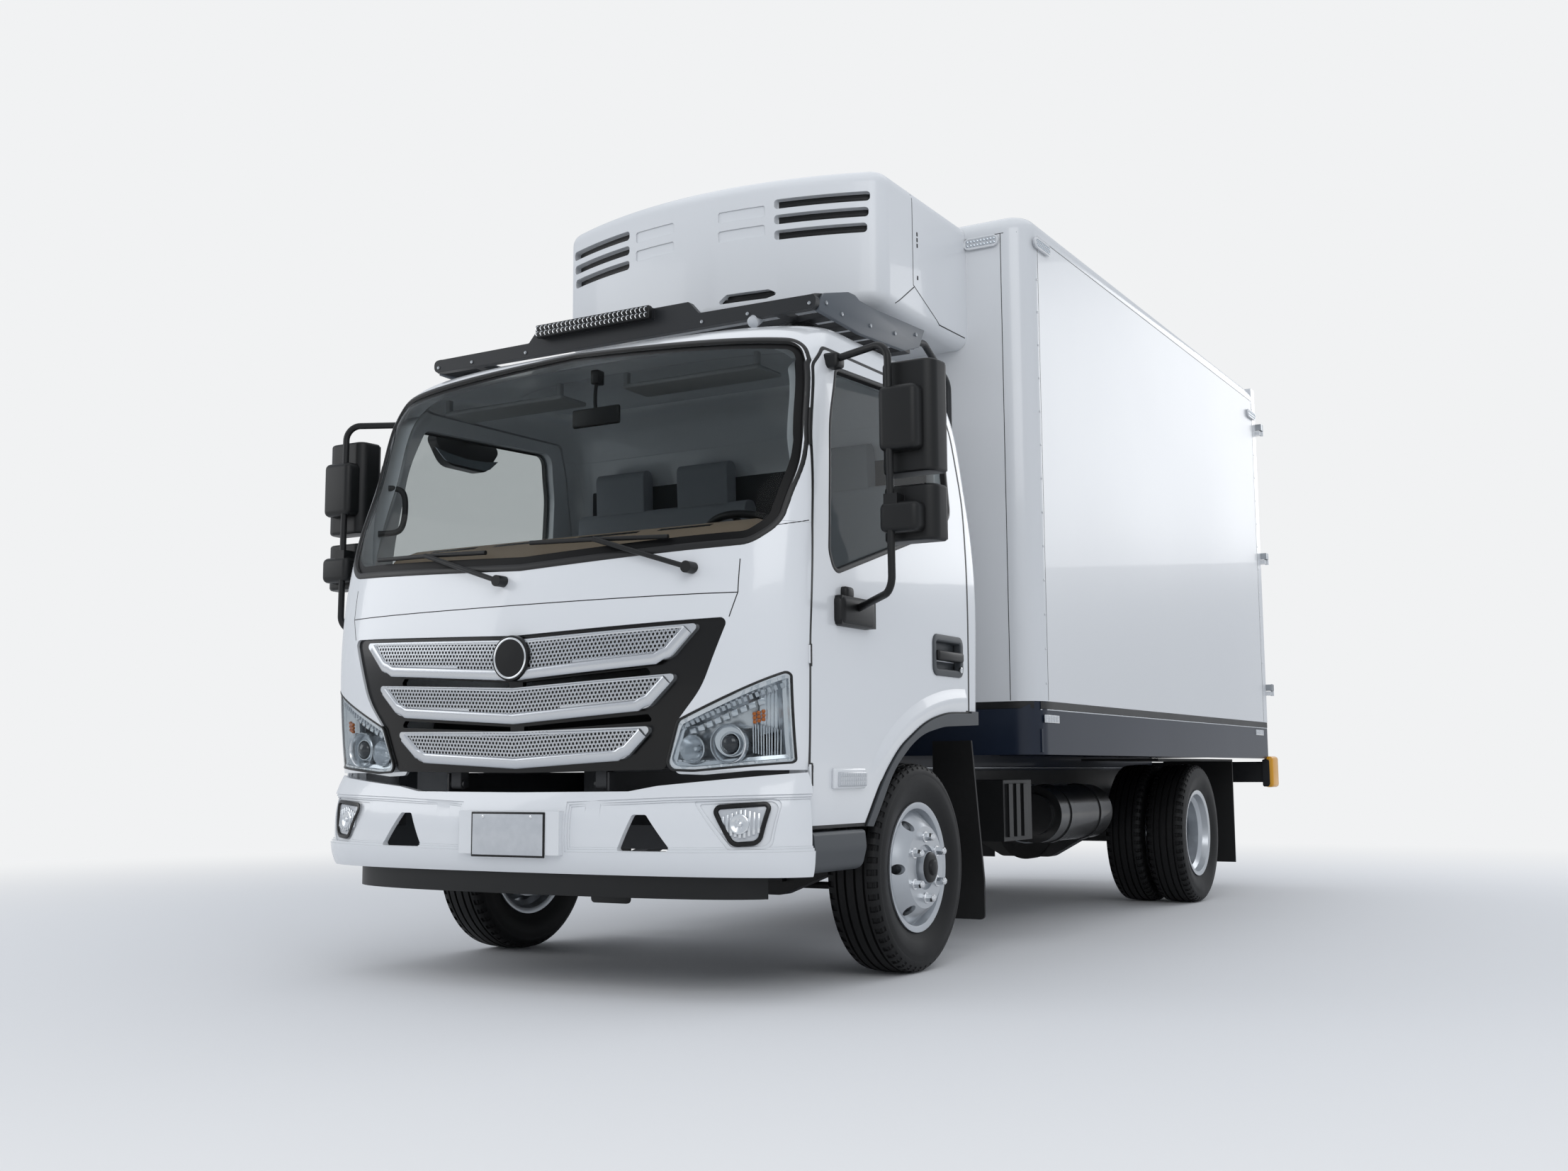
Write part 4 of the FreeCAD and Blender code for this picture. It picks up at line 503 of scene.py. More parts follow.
def sheet_of(points, vec):
    """Mesh of a flat outline of scene points, given its thickness by a vector."""
    bm = bmesh.new()
    face = bm.faces.new([bm.verts.new(point) for point in points])
    grown = bmesh.ops.extrude_face_region(bm, geom=[face])["geom"]
    bmesh.ops.translate(bm, verts=[v for v in grown if isinstance(v, bmesh.types.BMVert)], vec=vec)
    return bm


def tube(name, points, radius_mm, material, body):
    """Round bar or tube along a smooth line of points in millimetres."""
    curve = bpy.data.curves.new(name, "CURVE")
    curve.dimensions = "3D"
    curve.bevel_depth = radius_mm / 1000
    curve.bevel_resolution = 4
    curve.use_fill_caps = True
    line = curve.splines.new("NURBS")
    line.points.add(len(points) - 1)
    for knot, point in zip(line.points, points):
        knot.co = (*at(*point), 1.0)
    line.order_u = 3
    line.use_endpoint_u = True
    line.resolution_u = 8
    curve.materials.append(material)
    obj = bpy.data.objects.new(name, curve)
    bpy.context.scene.collection.objects.link(obj)
    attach(obj, body)


# %% [markdown]
# ## Tyres
# A radial tyre is a turned shape, so its section is drawn once and spun. Four grooves are part of
# the section; the shoulder slots are faces pushed in all round. The sidewall has a bead ring, a
# scuff ring and a shoulder line, and no lettering.

# %% Tyres
TYRE_HALF = [
    (70, 223), (76, 226), (79, 238), (83, 246), (84, 250), (94, 272), (101, 292), (105, 312), (105.3, 322),
    (103, 338), (102.6, 342), (103.2, 346), (99, 360), (92, 371), (84, 377.5), (66, 380.5), (58, 381),
    (57, 371), (50, 371), (49, 381.6), (24, 383), (23, 372), (15, 372), (14, 383.2), (0, 383.5),
]
TYRE_STEPS = 108
SHOULDER = (66, 100)
SHOULDER_RADIUS = 362
SLOT_DEPTH = 0.006
REAR_TYRE_X = 933
TWIN_GAP = 230


def tyre(name, centre, body):
    """One tyre with ribs and shoulder slots."""
    section = TYRE_HALF + [(-s, r) for s, r in reversed(TYRE_HALF[:-1])]
    bm = bmesh.new()
    lathe(bm, section + [section[0]], centre, (1, 0, 0), TYRE_STEPS)
    bmesh.ops.remove_doubles(bm, verts=bm.verts, dist=0.00005)
    bmesh.ops.recalc_face_normals(bm, faces=bm.faces)
    slots = []
    for face in bm.faces:
        spot = (face.calc_center_median() - centre) * 1000
        step = int(math.atan2(spot.z, spot.y) % math.tau / math.tau * TYRE_STEPS + 0.01)
        high = math.hypot(spot.y, spot.z) > SHOULDER_RADIUS
        if step % 2 == 0 and high and SHOULDER[0] < abs(spot.x) < SHOULDER[1]:
            slots.append(face)
    bmesh.ops.inset_individual(bm, faces=slots, thickness=0.002)
    for face in slots:
        for vert in face.verts:
            offset = vert.co - centre
            offset.x = 0
            vert.co -= offset.normalized() * SLOT_DEPTH
    return shaped(bm, name, tyre_rubber, body, 40)


for side, sign in SIDES:
    centre = middle_of("front_tyre_" + side)
    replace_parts(tyre("tread_front_" + side, centre, "front_wheel_" + side), "front_tyre_" + side)
    for place, x in (("outer", REAR_TYRE_X), ("inner", REAR_TYRE_X - TWIN_GAP)):
        centre = at(sign * x, WHEELBASE, HUB_Z)
        piece = tyre("tread_rear_" + place + "_" + side, centre, "rear_wheels_" + side)
        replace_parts(piece, "rear_tyres_" + side)
print("tyres made")

# %% [markdown]
# ## Wheel nuts and hubs
# Six chromed nuts hold each wheel on a 222.25 mm circle. Each is a hexagon with a washer below
# and a domed tip. The steered hub shows a dark cap.

# %% Wheel nuts and hub caps
STUD_RADIUS = 111.1
NUT_COUNT = 6
FRONT_HUB_X = 1030
REAR_HUB_X = 818


def nuts(centre, outward):
    """Ring of chromed wheel nuts pointing outward along X."""
    bm = bmesh.new()
    for k in range(NUT_COUNT):
        angle = math.tau * k / NUT_COUNT
        spot = centre + Vector((0, math.sin(angle), math.cos(angle))) * (STUD_RADIUS / 1000)
        lathe(bm, [(0, 0.1), (0, 21), (3, 21), (5, 19), (5, 0.1)], spot, (outward, 0, 0), 20)
        made = bmesh.ops.create_cone(bm, cap_ends=True, segments=6, radius1=0.0165, radius2=0.0155,
                                     depth=0.026)["verts"]
        turn = Matrix.Rotation(math.pi / 2 * outward, 3, "Y")
        bmesh.ops.rotate(bm, verts=made, cent=(0, 0, 0), matrix=turn)
        bmesh.ops.translate(bm, verts=made, vec=spot + Vector((outward * 0.018, 0, 0)))
        lathe(bm, [(30, 14), (34, 13), (38, 9), (40, 0.1)], spot, (outward, 0, 0), 16)
    return bm


for side, sign in SIDES:
    hub = at(sign * FRONT_HUB_X, 0, HUB_Z)
    shaped(nuts(hub, sign), "wheel_nuts_front_" + side, chrome, "front_wheel_" + side, 30)
    rear = nuts(at(sign * REAR_HUB_X, WHEELBASE, HUB_Z), sign)
    shaped(rear, "wheel_nuts_rear_" + side, chrome, "rear_wheels_" + side, 30)
    cap = turned([(18, 57), (24, 55), (27, 50), (30, 40), (30, 30), (38, 27), (41, 20), (42, 0.1)],
                 [hub], (sign, 0, 0), 40)
    shaped(cap, "hub_cap_" + side, matt_black, "front_wheel_" + side, 30)

# %% [markdown]
# ## Lines on the CAD surfaces
# A seal, a seam or a lip follows a surface that the CAD made. The next helpers read that surface:
# `skin` keeps the faces that look one way and finds their border lines, `cast` and `thrown` drop
# points and drawn lines onto them, and `swept` moves a small section along such a line.

# %% Surface helpers
FRONT = Vector((0, -1, 0))
BACK = Vector((0, 1, 0))
OUT = {1: Vector((1, 0, 0)), -1: Vector((-1, 0, 0))}
CAST_FROM = 6000


def skin(names, way, least=0.15, keep=None):
    """Search tree and border lines, longest first, of the faces of CAD nodes that look one way."""
    bm = bmesh.new()
    for name in names:
        bm.from_mesh(NODES[name].data)
    bmesh.ops.remove_doubles(bm, verts=bm.verts, dist=WELD_M)
    bm.normal_update()
    away = [f for f in bm.faces if f.normal.dot(way) < least or (keep and not keep(f.calc_center_median()))]
    bmesh.ops.delete(bm, geom=away, context="FACES")
    tree = BVHTree.FromBMesh(bm)
    border = dict.fromkeys(e for e in bm.edges if len(e.link_faces) == 1)
    lines = []
    while border:
        edge = border.popitem()[0]
        first, vert = edge.verts
        line = [first.co.copy(), vert.co.copy()]
        while vert != first:
            edge = next((e for e in vert.link_edges if e in border), None)
            if edge is None:
                break
            del border[edge]
            vert = edge.other_vert(vert)
            line.append(vert.co.copy())
        lines.append(line[:-1] if vert == first else line)
    bm.free()
    lines.sort(key=lambda line: -sum((b - a).length for a, b in zip(line, line[1:])))
    return tree, lines


def spaced(points, step_mm, closed, least_mm=2.5):
    """The same line with long runs divided and crowded points thinned."""
    kept = [points[0]]
    for point in points[1:] + ([points[0]] if closed else []):
        gap = (point - kept[-1]).length * 1000
        if gap < least_mm:
            continue
        parts = max(1, math.ceil(gap / step_mm))
        start = kept[-1]
        kept += [start.lerp(point, k / parts) for k in range(1, parts + 1)]
    return kept[:-1] if closed and (kept[-1] - kept[0]).length < 0.0005 else kept


def outside(a, z, way):
    """Point far out on the side a surface looks to: a is X for front and back, and Y for a side."""
    return at(way.x * CAST_FROM, a, z) if way.x else at(a, way.y * CAST_FROM, z)


def cast(tree, a, z, way):
    """Where a ray against a direction meets a surface, and the normal there."""
    return tree.ray_cast(outside(a, z, way), -way)[:2]


def sunk(tree, a, z, sink_mm, way=FRONT):
    """Point below a surface by a depth along its normal, and the normal."""
    hit, normal = cast(tree, a, z, way)
    return hit - normal * (sink_mm / 1000), normal


def thrown(tree, pairs, way, step_mm=20):
    """A drawn line of millimetre pairs, seen against a direction, dropped onto a surface."""
    line = spaced([outside(a, z, way) for a, z in pairs], step_mm, False)
    spots = [tree.ray_cast(point, -way)[0] for point in line]
    return [spot for spot in spots if spot]


def swept(bm, line, tree, profile, closed=True, step_mm=25, hug_mm=14):
    """Section swept along a line on a surface: its pairs are millimetres inward and outward."""
    points = spaced(line, step_mm, closed)
    count = len(points)
    middle = sum(points, Vector()) / count
    normals = [tree.find_nearest(p)[1] for p in points]
    frames = []
    for i, point in enumerate(points):
        back = i - 1 if closed or i else i
        ahead = (i + 1) % count if closed else min(i + 1, count - 1)
        normal = (normals[back] + 2 * normals[i] + normals[ahead]).normalized()
        runs = [v.normalized() for v in (point - points[back], points[ahead] - point) if v.length > 0]
        sides = [normal.cross(run).normalized() for run in runs]
        inward = sum(sides, Vector()).normalized()
        frames.append((point, inward / max(0.45, inward.dot(sides[0])), normal))
    if sum(inward.dot(middle - point) for point, inward, normal in frames) < 0:
        frames = [(point, -inward, normal) for point, inward, normal in frames]

    def place(i, step):
        point, inward, normal = frames[i]
        spot = point + inward * (step[0] / 1000)
        if abs(step[0]) > hug_mm:
            spot = tree.find_nearest(spot)[0]
        return spot + normal * (step[1] / 1000)

    row = [bm.verts.new(place(i, profile[0])) for i in range(count)]
    ends = list(zip(row, row[1:])) + ([(row[-1], row[0])] if closed else [])
    edges = [bm.edges.new(pair) for pair in ends]
    for step in profile[1:]:
        grown = bmesh.ops.extrude_edge_only(bm, edges=edges)["geom"]
        fresh = {v for v in grown if isinstance(v, bmesh.types.BMVert)}
        row = [next(e.other_vert(v) for e in v.link_edges if e.other_vert(v) in fresh) for v in row]
        for i, vert in enumerate(row):
            vert.co = place(i, step)
        edges = [e for e in grown if isinstance(e, bmesh.types.BMEdge) and all(v in fresh for v in e.verts)]


def laid(bm, tree, pairs, way, profile, steps=(20, 25), **more):
    """Section swept along a drawn line that is dropped onto a surface."""
    line = thrown(tree, pairs, way, steps[0])
    if len(line) > 1:
        swept(bm, line, tree, profile, closed=False, step_mm=steps[1], **more)


def stud(bm, spot, normal, size_mm, bevel_mm=1.5, roll=0.0, segments=2):
    """Small rounded block, width by height by depth, with its back towards a surface."""
    made = bmesh.ops.create_cube(bm, size=1.0)["verts"]
    bmesh.ops.scale(bm, verts=made, vec=Vector(size_mm) / 1000)
    level = Vector((0, 0, 1)).cross(normal).normalized()
    axes = Matrix((level, normal.cross(level), normal)).transposed()
    bmesh.ops.rotate(bm, verts=made, cent=(0, 0, 0), matrix=axes @ Matrix.Rotation(roll, 3, "Z"))
    bmesh.ops.translate(bm, verts=made, vec=spot)
    rounded(bm, edges_of(made), bevel_mm, segments)


def fitted(bm, tree, a, z, sink_mm, size_mm, bevel_mm, way=FRONT, **more):
    """Stud on or below a surface, turned to its normal."""
    spot, normal = sunk(tree, a, z, sink_mm, way)
    stud(bm, spot, normal, size_mm, bevel_mm, **more)


def band(name, line, tree, profile, material, carrier, slot, **more):
    """One swept section as a piece that rides with a CAD node."""
    bm = bmesh.new()
    swept(bm, line, tree, profile, **more)
    return shaped(bm, name, material, BODY_OF[carrier])


def on_side(lines, sign):
    """The longest border line on one side of the truck."""
    return next(line for line in lines if line[0].x * sign > 0)


def between(first, last, share):
    """Pair of numbers part of the way from one pair to another."""
    return tuple(a + (b - a) * share for a, b in zip(first, last))


# %% [markdown]
# ## Screen and window seals
# The windscreen is bonded in a black rubber frame, and a black ceramic border is fired onto the
# glass inside it to hide the glue. The door glass has a thinner seal.

# %% Windscreen, border and door glass seals
SCREEN_SEAL = [(-9, 5), (-8, 11.5), (-2, 14), (9, 14.5), (16, 12), (18, 3)]
SCREEN_BORDER = [(16, 1), (30, 0.8), (46, 0.6)]
GLASS_SEAL = [(-7, 16), (-6, 22.5), (-1, 24), (7, 23.5), (10, 20), (11, 0.5)]
screen_tree, screen_lines = skin(["windscreen"], FRONT)
band("windscreen_seal", screen_lines[0], screen_tree, SCREEN_SEAL, seal_rubber, "windscreen", "trim_dark")
band("windscreen_border", screen_lines[0], screen_tree, SCREEN_BORDER, fired_border, "windscreen",
     "trim_dark")
print("windscreen outline points", len(screen_lines[0]))
for side, sign in SIDES:
    glass = "door_glass_" + side
    glass_tree, glass_lines = skin([glass], OUT[sign])
    band("window_seal_" + side, glass_lines[0], glass_tree, GLASS_SEAL, seal_rubber, glass, "trim_dark")

# %% [markdown]
# ## Panel seams
# The real panels meet with 4 mm gaps that read as thin dark lines. The CAD panels nearly touch,
# so each line is a flat dark strip, a third of a millimetre proud, laid along the joint.

# %% Panel seams on the cab
SEAM_PROFILE = [(-1.8, 0.1), (-1.2, 0.5), (1.2, 0.5), (1.8, 0.1)]
PANEL_SEAMS = ([(859, 1432), (859, 1320), (834, 1240)], [(859, 1320), (0, 1320)])
PILLAR_SEAMS = ([(-945, 1546), (-832, 1572)], [(430, 2158), (560, 2120)])
SHELL = ["cab_front_panel", "cab_pillars", "cab_roof"]
panel_tree = skin(SHELL, FRONT, 0.05)[0]
seams = bmesh.new()
for sign in (1, -1):
    for pairs in PANEL_SEAMS:
        laid(seams, panel_tree, [(sign * x, z) for x, z in pairs], FRONT, SEAM_PROFILE)
    side_tree = skin(SHELL, OUT[sign], 0.1)[0]
    for pairs in PILLAR_SEAMS:
        laid(seams, side_tree, pairs, OUT[sign], SEAM_PROFILE)
shaped(seams, "panel_seams", seal_rubber, "cab")

# %% [markdown]
# The door's seam runs round its edge. It has to cross the two hinge pins, so the edge points beside
# a pin are left out, the line is bridged there, and short studs cover the pin's slot.

# %% Door seams
DOOR_SEAM = [(-7, 0.1), (-6, 0.9), (4.4, 0.9), (5.4, 0.1)]
PIN_HEIGHTS = (700, 1090)
PIN_REACH = 52
PIN_LINE = -865
BRIDGE_M = 0.06
for side, sign in SIDES:
    door = "cab_door_" + side
    door_tree, door_lines = skin([door], OUT[sign])
    whole_tree = skin([door, "cab_front_panel", "cab_pillars"], OUT[sign])[0]
    rim = []
    for point in door_lines[0]:
        at_front = point.y < at(0, -840, 0).y
        if at_front and any(abs(point.z * 1000 - height) < PIN_REACH for height in PIN_HEIGHTS):
            continue
        if rim and at_front and (point - rim[-1]).length > BRIDGE_M:
            for share in (0.2, 0.4, 0.6, 0.8):
                across = whole_tree.ray_cast(rim[-1].lerp(point, share) + OUT[sign] * 0.3, -OUT[sign])[0]
                rim += [across] if across else []
        rim.append(point)
    gap = bmesh.new()
    swept(gap, rim, door_tree, DOOR_SEAM)
    for height in PIN_HEIGHTS:
        for k in range(-3, 4):
            spot = cast(whole_tree, PIN_LINE, height + k * 18, OUT[sign])[0]
            if spot:
                stud(gap, spot + OUT[sign] * 0.001, OUT[sign], (9, 20, 3), 0.5, segments=1)
    shaped(gap, "door_seam_" + side, seal_rubber, BODY_OF[door])

# %% [markdown]
# ## Arch flares
# A soft pressed flare follows the wheel arch in the lower door, and dies out towards the step.

# %% Flares in the doors
FLARE_LINE = [(y, 640 + 376 * (1 - ((400 - y) / 830) ** 2) ** 0.59) for y in range(-428, 412, 28)]
FLARE = [(-42, 0.1), (-26, 2.6), (-8, 7.5), (4, 9), (18, 8), (34, 5), (56, 1.6), (72, 0.1)]
FLARE_FADE = 0.2
for side, sign in SIDES:
    door = "cab_door_" + side
    door_tree = skin([door], OUT[sign])[0]
    line = thrown(door_tree, FLARE_LINE, OUT[sign], 18)
    flare = bmesh.new()
    swept(flare, line, door_tree, FLARE, closed=False, step_mm=18)
    for vert in flare.verts:
        low = door_tree.find_nearest(vert.co)[0]
        near = min(1.0, (vert.co - line[0]).length / FLARE_FADE)
        vert.co = low.lerp(vert.co, near * near * (3 - 2 * near))
    shaped(flare, "arch_flare_" + side, cab_enamel, BODY_OF[door], 60)

# %% [markdown]
# ## Grille strips
# Each of the three bright strips is a sheet punched with round holes and framed by a smooth
# pressed lip. One hexagonal cell with a hole is made once and repeated over the field, and the
# finished sheet is pressed onto the curved face. A matt black cap behind each hole is painted
# shade, standing in for the shadow inside the hole.

# %% Cell of the punched sheets
HOLE_PITCH = 15.4
HOLE_RADIUS = 5.2
HOLE_MARGIN = 4
ROW_STEP = HOLE_PITCH * math.sqrt(3) / 2
SHEET_RISE = 3.2
SHEET_FRONT_Y = -1090
FIELD_SLOPE = 0.042
FIELDS = [
    [(0, 1188), (688, 1214), (606, 1128), (0, 1091)],
    [(0, 1024), (614, 1052), (532, 975), (0, 941)],
    [(0, 873), (518, 881), (440, 812), (0, 788)],
]
BADGE_Z = 1133
BADGE_RADIUS = 77

cell = bmesh.new()
outer = bmesh.ops.create_circle(cell, radius=HOLE_PITCH / math.sqrt(3), segments=12)["verts"]
bmesh.ops.scale(cell, verts=outer[1::2], vec=Vector((1, 1, 1)) * math.cos(math.pi / 6))
hole = bmesh.ops.create_circle(cell, radius=HOLE_RADIUS, segments=12)["verts"]
hole_edges = [e for e in cell.edges if all(v in hole for v in e.verts)]
bmesh.ops.bridge_loops(cell, edges=cell.edges[:])
wall = bmesh.ops.extrude_edge_only(cell, edges=hole_edges)["geom"]
bmesh.ops.translate(cell, verts=[v for v in wall if isinstance(v, bmesh.types.BMVert)], vec=(0, 0, -2))
bmesh.ops.rotate(cell, verts=cell.verts, cent=(0, 0, 0), matrix=Matrix.Rotation(math.pi / 6, 3, "Z"))
cell_mesh = bpy.data.meshes.new("cell")
cell.to_mesh(cell_mesh)
cell.free()


def inside(corners, x, z, margin):
    """Whether a point is on the inner side of a bent line, by at least a margin in millimetres."""
    good = True
    for (x0, z0), (x1, z1) in zip(corners, corners[1:]):
        run = math.hypot(x1 - x0, z1 - z0)
        good = good and ((z1 - z0) * (x - x0) - (x1 - x0) * (z - z0)) / run <= -margin
    return good


def from_badge(x, z):
    """Distance in millimetres from the round badge's middle."""
    return math.hypot(x, z - BADGE_Z)


def beside_badge(spot):
    """Whether a scene point is clear of the badge."""
    return from_badge(spot.x * 1000, spot.z * 1000) > BADGE_RADIUS + 2


# %% Punched sheets
bar_tree = skin(["grille_bars"], FRONT, 0.3, keep=beside_badge)[0]
sheet = bmesh.new()
backs = bmesh.new()
for half in FIELDS:
    half_count = int(half[1][0] / HOLE_PITCH) + 1
    rows = int((half[0][1] - half[3][1]) / ROW_STEP) + 1
    for row in range(rows):
        for column in range(-half_count, half_count + 1):
            x = (column + 0.5 * (row % 2)) * HOLE_PITCH
            z = half[0][1] - 8 - row * ROW_STEP + FIELD_SLOPE * abs(x)
            if not inside(half[::-1], abs(x), z, HOLE_MARGIN) or from_badge(x, z) <= BADGE_RADIUS + 4:
                continue
            spot, normal = cast(bar_tree, x, z, FRONT)
            if spot:
                tilt = Vector((0, 0, 1)).rotation_difference(normal).to_matrix().to_4x4()
                bmesh.ops.create_circle(backs, cap_ends=True, radius=HOLE_RADIUS / 1000 * 1.03, segments=10,
                                        matrix=Matrix.Translation(spot + normal * 0.0009) @ tilt)
            first = len(sheet.verts)
            sheet.from_mesh(cell_mesh)
            sheet.verts.ensure_lookup_table()
            for vert in sheet.verts[first:]:
                vx, vz, depth = x + vert.co.x, z + vert.co.y, vert.co.z
                vz += FIELD_SLOPE * (abs(vx) - abs(x))
                hit = cast(bar_tree, vx, vz, FRONT)[0]
                vert.co = (hit or at(vx, SHEET_FRONT_Y, vz)) + FRONT * ((SHEET_RISE + depth) / 1000)
# Matt black caps behind the holes: painted shade inside the holes.
shaped(backs, "grille_hole_shadows", hole_shade_black, "cab")
shaped(sheet, "grille_punched_sheets", alloy_strip, "cab", 20)

# %% Lips round the sheets
LIP = [(-36, 0.2), (-35, 3.5), (-28, 6.5), (-8, 8.5), (-2, 7.0), (1.5, 3.0), (2, 0.5)]
TOP_LIP = [(-7, 0.2), (-6.5, 4), (-1, 5), (1.5, 1)]
lips = bmesh.new()
for top_middle, outer_top, outer_low, low_middle in FIELDS:
    bend = [between(outer_low, outer_top, share) for share in (0.34, 0.2)]
    foot = [between(outer_low, low_middle, share) for share in (0.045, 0.1)]
    corner = between(bend[1], foot[0], 0.5)
    right_side = [outer_top] + bend + [(corner[0], corner[1] + 3)] + foot
    left_side = [(-x, z) for x, z in reversed(right_side)]
    laid(lips, bar_tree, right_side + [low_middle] + left_side, FRONT, LIP, (14, 14), hug_mm=50)
    laid(lips, bar_tree, [left_side[-1], top_middle, outer_top], FRONT, TOP_LIP, (14, 14))
shaped(lips, "grille_lips", alloy_strip, "cab", 50)
bpy.data.meshes.remove(cell_mesh)
print("grille strips made")

# %% [markdown]
# ## Headlamps
# Behind each clear cover lies a silvered bowl with a projector, a row of small daytime lights along
# its upper edge, an amber block and fluted reflector walls. All of it sits at a depth below the
# cover, measured along the cover's own normal.

# %% Headlamp insides
LAMP_TOP = ((664, 884), (990, 1014))
PROJECTOR = (816, 827)
SECOND_BOWL = (690, 812)
BOWLS = (
    (PROJECTOR, [(-80, 24), (-66, 40), (-34, 54), (-12, 60), (-8, 63), (-12, 66), (-30, 67)]),
    (PROJECTOR, [(-70, 40), (-32, 40), (-26, 38), (-26, 35), (-40, 33), (-60, 33)]),
    (SECOND_BOWL, [(-70, 8), (-60, 22), (-40, 34), (-20, 41), (-14, 44), (-18, 47)]),
    (SECOND_BOWL, [(-66, 8), (-44, 8), (-38, 6), (-36, 0.1)]),
)
LENS_BALL = [(-60, 33), (-34, 33), (-25, 30), (-18, 24), (-13, 14), (-11, 0.1)]
LAMP_WALL = [(2, -6), (8, -7), (12, -16), (24, -22), (28, -44), (30, -92)]
GASKET = [(-5, -8), (-4.5, 0.5), (-2, 1.6), (1.5, 1.4), (2.5, 0)]
FLUTES = (
    (11, (898, 842), (8.2, -2), 34, (4.6, 96, 16), 1.8, 0),
    (6, (742, 768), (-20, 0.5), 30, (17, 10, 12), 2, 0),
    (9, (690, 866), (30, 12), 42, (24, 22, 10), 3, 0.3),
    (5, (926, 926), (13, 3), 58, (12.4, 150, 8), 2, 0),
)
lens_tree, lens_lines = skin(["headlamp_lenses"], FRONT, 0.1)
for side, sign in SIDES:
    line = on_side(lens_lines, sign)
    bright = bmesh.new()
    swept(bright, line, lens_tree, LAMP_WALL, hug_mm=5)
    for (x, z), rings in BOWLS:
        spot, normal = cast(lens_tree, sign * x, z, FRONT)
        lathe(bright, rings, spot, (normal * 0.5 + FRONT).normalized(), 40)
    for count, (x, z), (right, up), sink, size, bevel, roll in FLUTES:
        for k in range(count):
            fitted(bright, lens_tree, sign * (x + k * right), z + k * up, sink, size, bevel,
                   roll=sign * roll)
    shaped(bright, "headlamp_reflector_" + side, lamp_silver, "cab", 30)
    lights = bmesh.new()
    for k in range(19):
        x, z = between(*LAMP_TOP, k / 18)
        fitted(lights, lens_tree, sign * x, z, 17, (12.5, 17, 9), 2.5, roll=sign * 0.37)
    shaped(lights, "daytime_lights_" + side, pearl_lens, "cab", 30)
    amber = bmesh.new()
    for row in range(3):
        for column in range(3):
            fitted(amber, lens_tree, sign * (906 + column * 14), 896 + row * 13 + column * 4, 26,
                   (13.2, 12.4, 12), 4)
    shaped(amber, "indicator_block_" + side, amber_lens, "cab", 30)
    spot, normal = cast(lens_tree, sign * PROJECTOR[0], PROJECTOR[1], FRONT)
    ball = turned(LENS_BALL, [spot], (normal * 0.5 + FRONT).normalized(), 40)
    shaped(ball, "projector_lens_" + side, smoked_lens, "cab", 40)
    band("headlamp_gasket_" + side, line, lens_tree, GASKET, seal_rubber, "headlamp_lenses", "trim_dark")

# %% [markdown]
# ## Fog lamps and marker lamps
# The fog lamps have a black frame and a ribbed reflector. The oval marker lamps on the box have a
# clear cover over two rows of small round lights.

# %% Fog lamps
FOG_FRAME = [(-9, 4), (-8, 7), (-2, 8.5), (3, 8), (6, 5), (7, 0.4)]
FOG_BOWL = [(2, 34), (6, 32), (7, 28), (4, 20), (2, 10), (7, 8), (9, 0.1)]
fog_tree, fog_lines = skin(["body_lamps"], FRONT, 0.1, keep=lambda p: p.z < 0.75)
for side, sign in SIDES:
    band("fog_frame_" + side, on_side(fog_lines, sign), fog_tree, FOG_FRAME, gloss_black, "body_lamps",
         "grille_black")
    ribs = bmesh.new()
    for k in range(9):
        fitted(ribs, fog_tree, sign * (812 + k * 14), 568 + k * 0.7, -1, (10, 96 - 9 * abs(k - 4.5), 5), 2.2)
    spot, normal = cast(fog_tree, sign * 866, 570, FRONT)
    lathe(ribs, FOG_BOWL, spot, normal, 32)
    shaped(ribs, "fog_reflector_" + side, lamp_silver, "chassis", 30)

# %% Marker lamps on the box
MARKER_RIM = [(-3, -6), (-3, 1), (-1, 2.5), (4, 2.5), (6, 0.3)]
MARKER_DOT = [(0, 6), (2, 5.6), (3.4, 3.6), (4, 0.1)]


def marker(name, tree, line, way, middle, half_length, height):
    """Clear oval lamp: bright rim and two rows of nine round lights."""
    band(name + "_rim", line, tree, MARKER_RIM, edge_alloy, "body_lamps", "lamp_clear", step_mm=12)
    dots = bmesh.new()
    for k in range(9):
        for row in (-1, 1):
            spot, normal = sunk(tree, middle + half_length * (k - 4) / 4.5, height + row * 9, -0.2, way)
            lathe(dots, MARKER_DOT, spot, normal, 12)
    shaped(dots, name + "_lights", mirror_silver, "chassis", 40)


front_tree, front_lines = skin(["body_lamps"], FRONT, 0.1, keep=lambda p: p.z > 2.9 and abs(p.x) < 1.0)
for side, sign in SIDES:
    marker("front_marker_" + side, front_tree, on_side(front_lines, sign), FRONT, sign * 880, 72, 3085)
for side, sign in SIDES:
    for name, y, z in (("front", 1165, 3074), ("rear", 4850, 3015)):
        middle = at(0, y, 0).y
        lamp_tree, lines = skin(["body_lamps"], OUT[sign], 0.5,
                                keep=lambda p: p.z > 2.9 and abs(p.y - middle) < 0.2 and abs(p.x) > 1.05)
        marker("side_marker_" + name + "_" + side, lamp_tree, on_side(lines, sign), OUT[sign], y, 80, z)

# %% [markdown]
# ## Bumper shell
# The bumper's mounts end flush with the recessed field of its face, so the points of their front
# faces go back to the field.

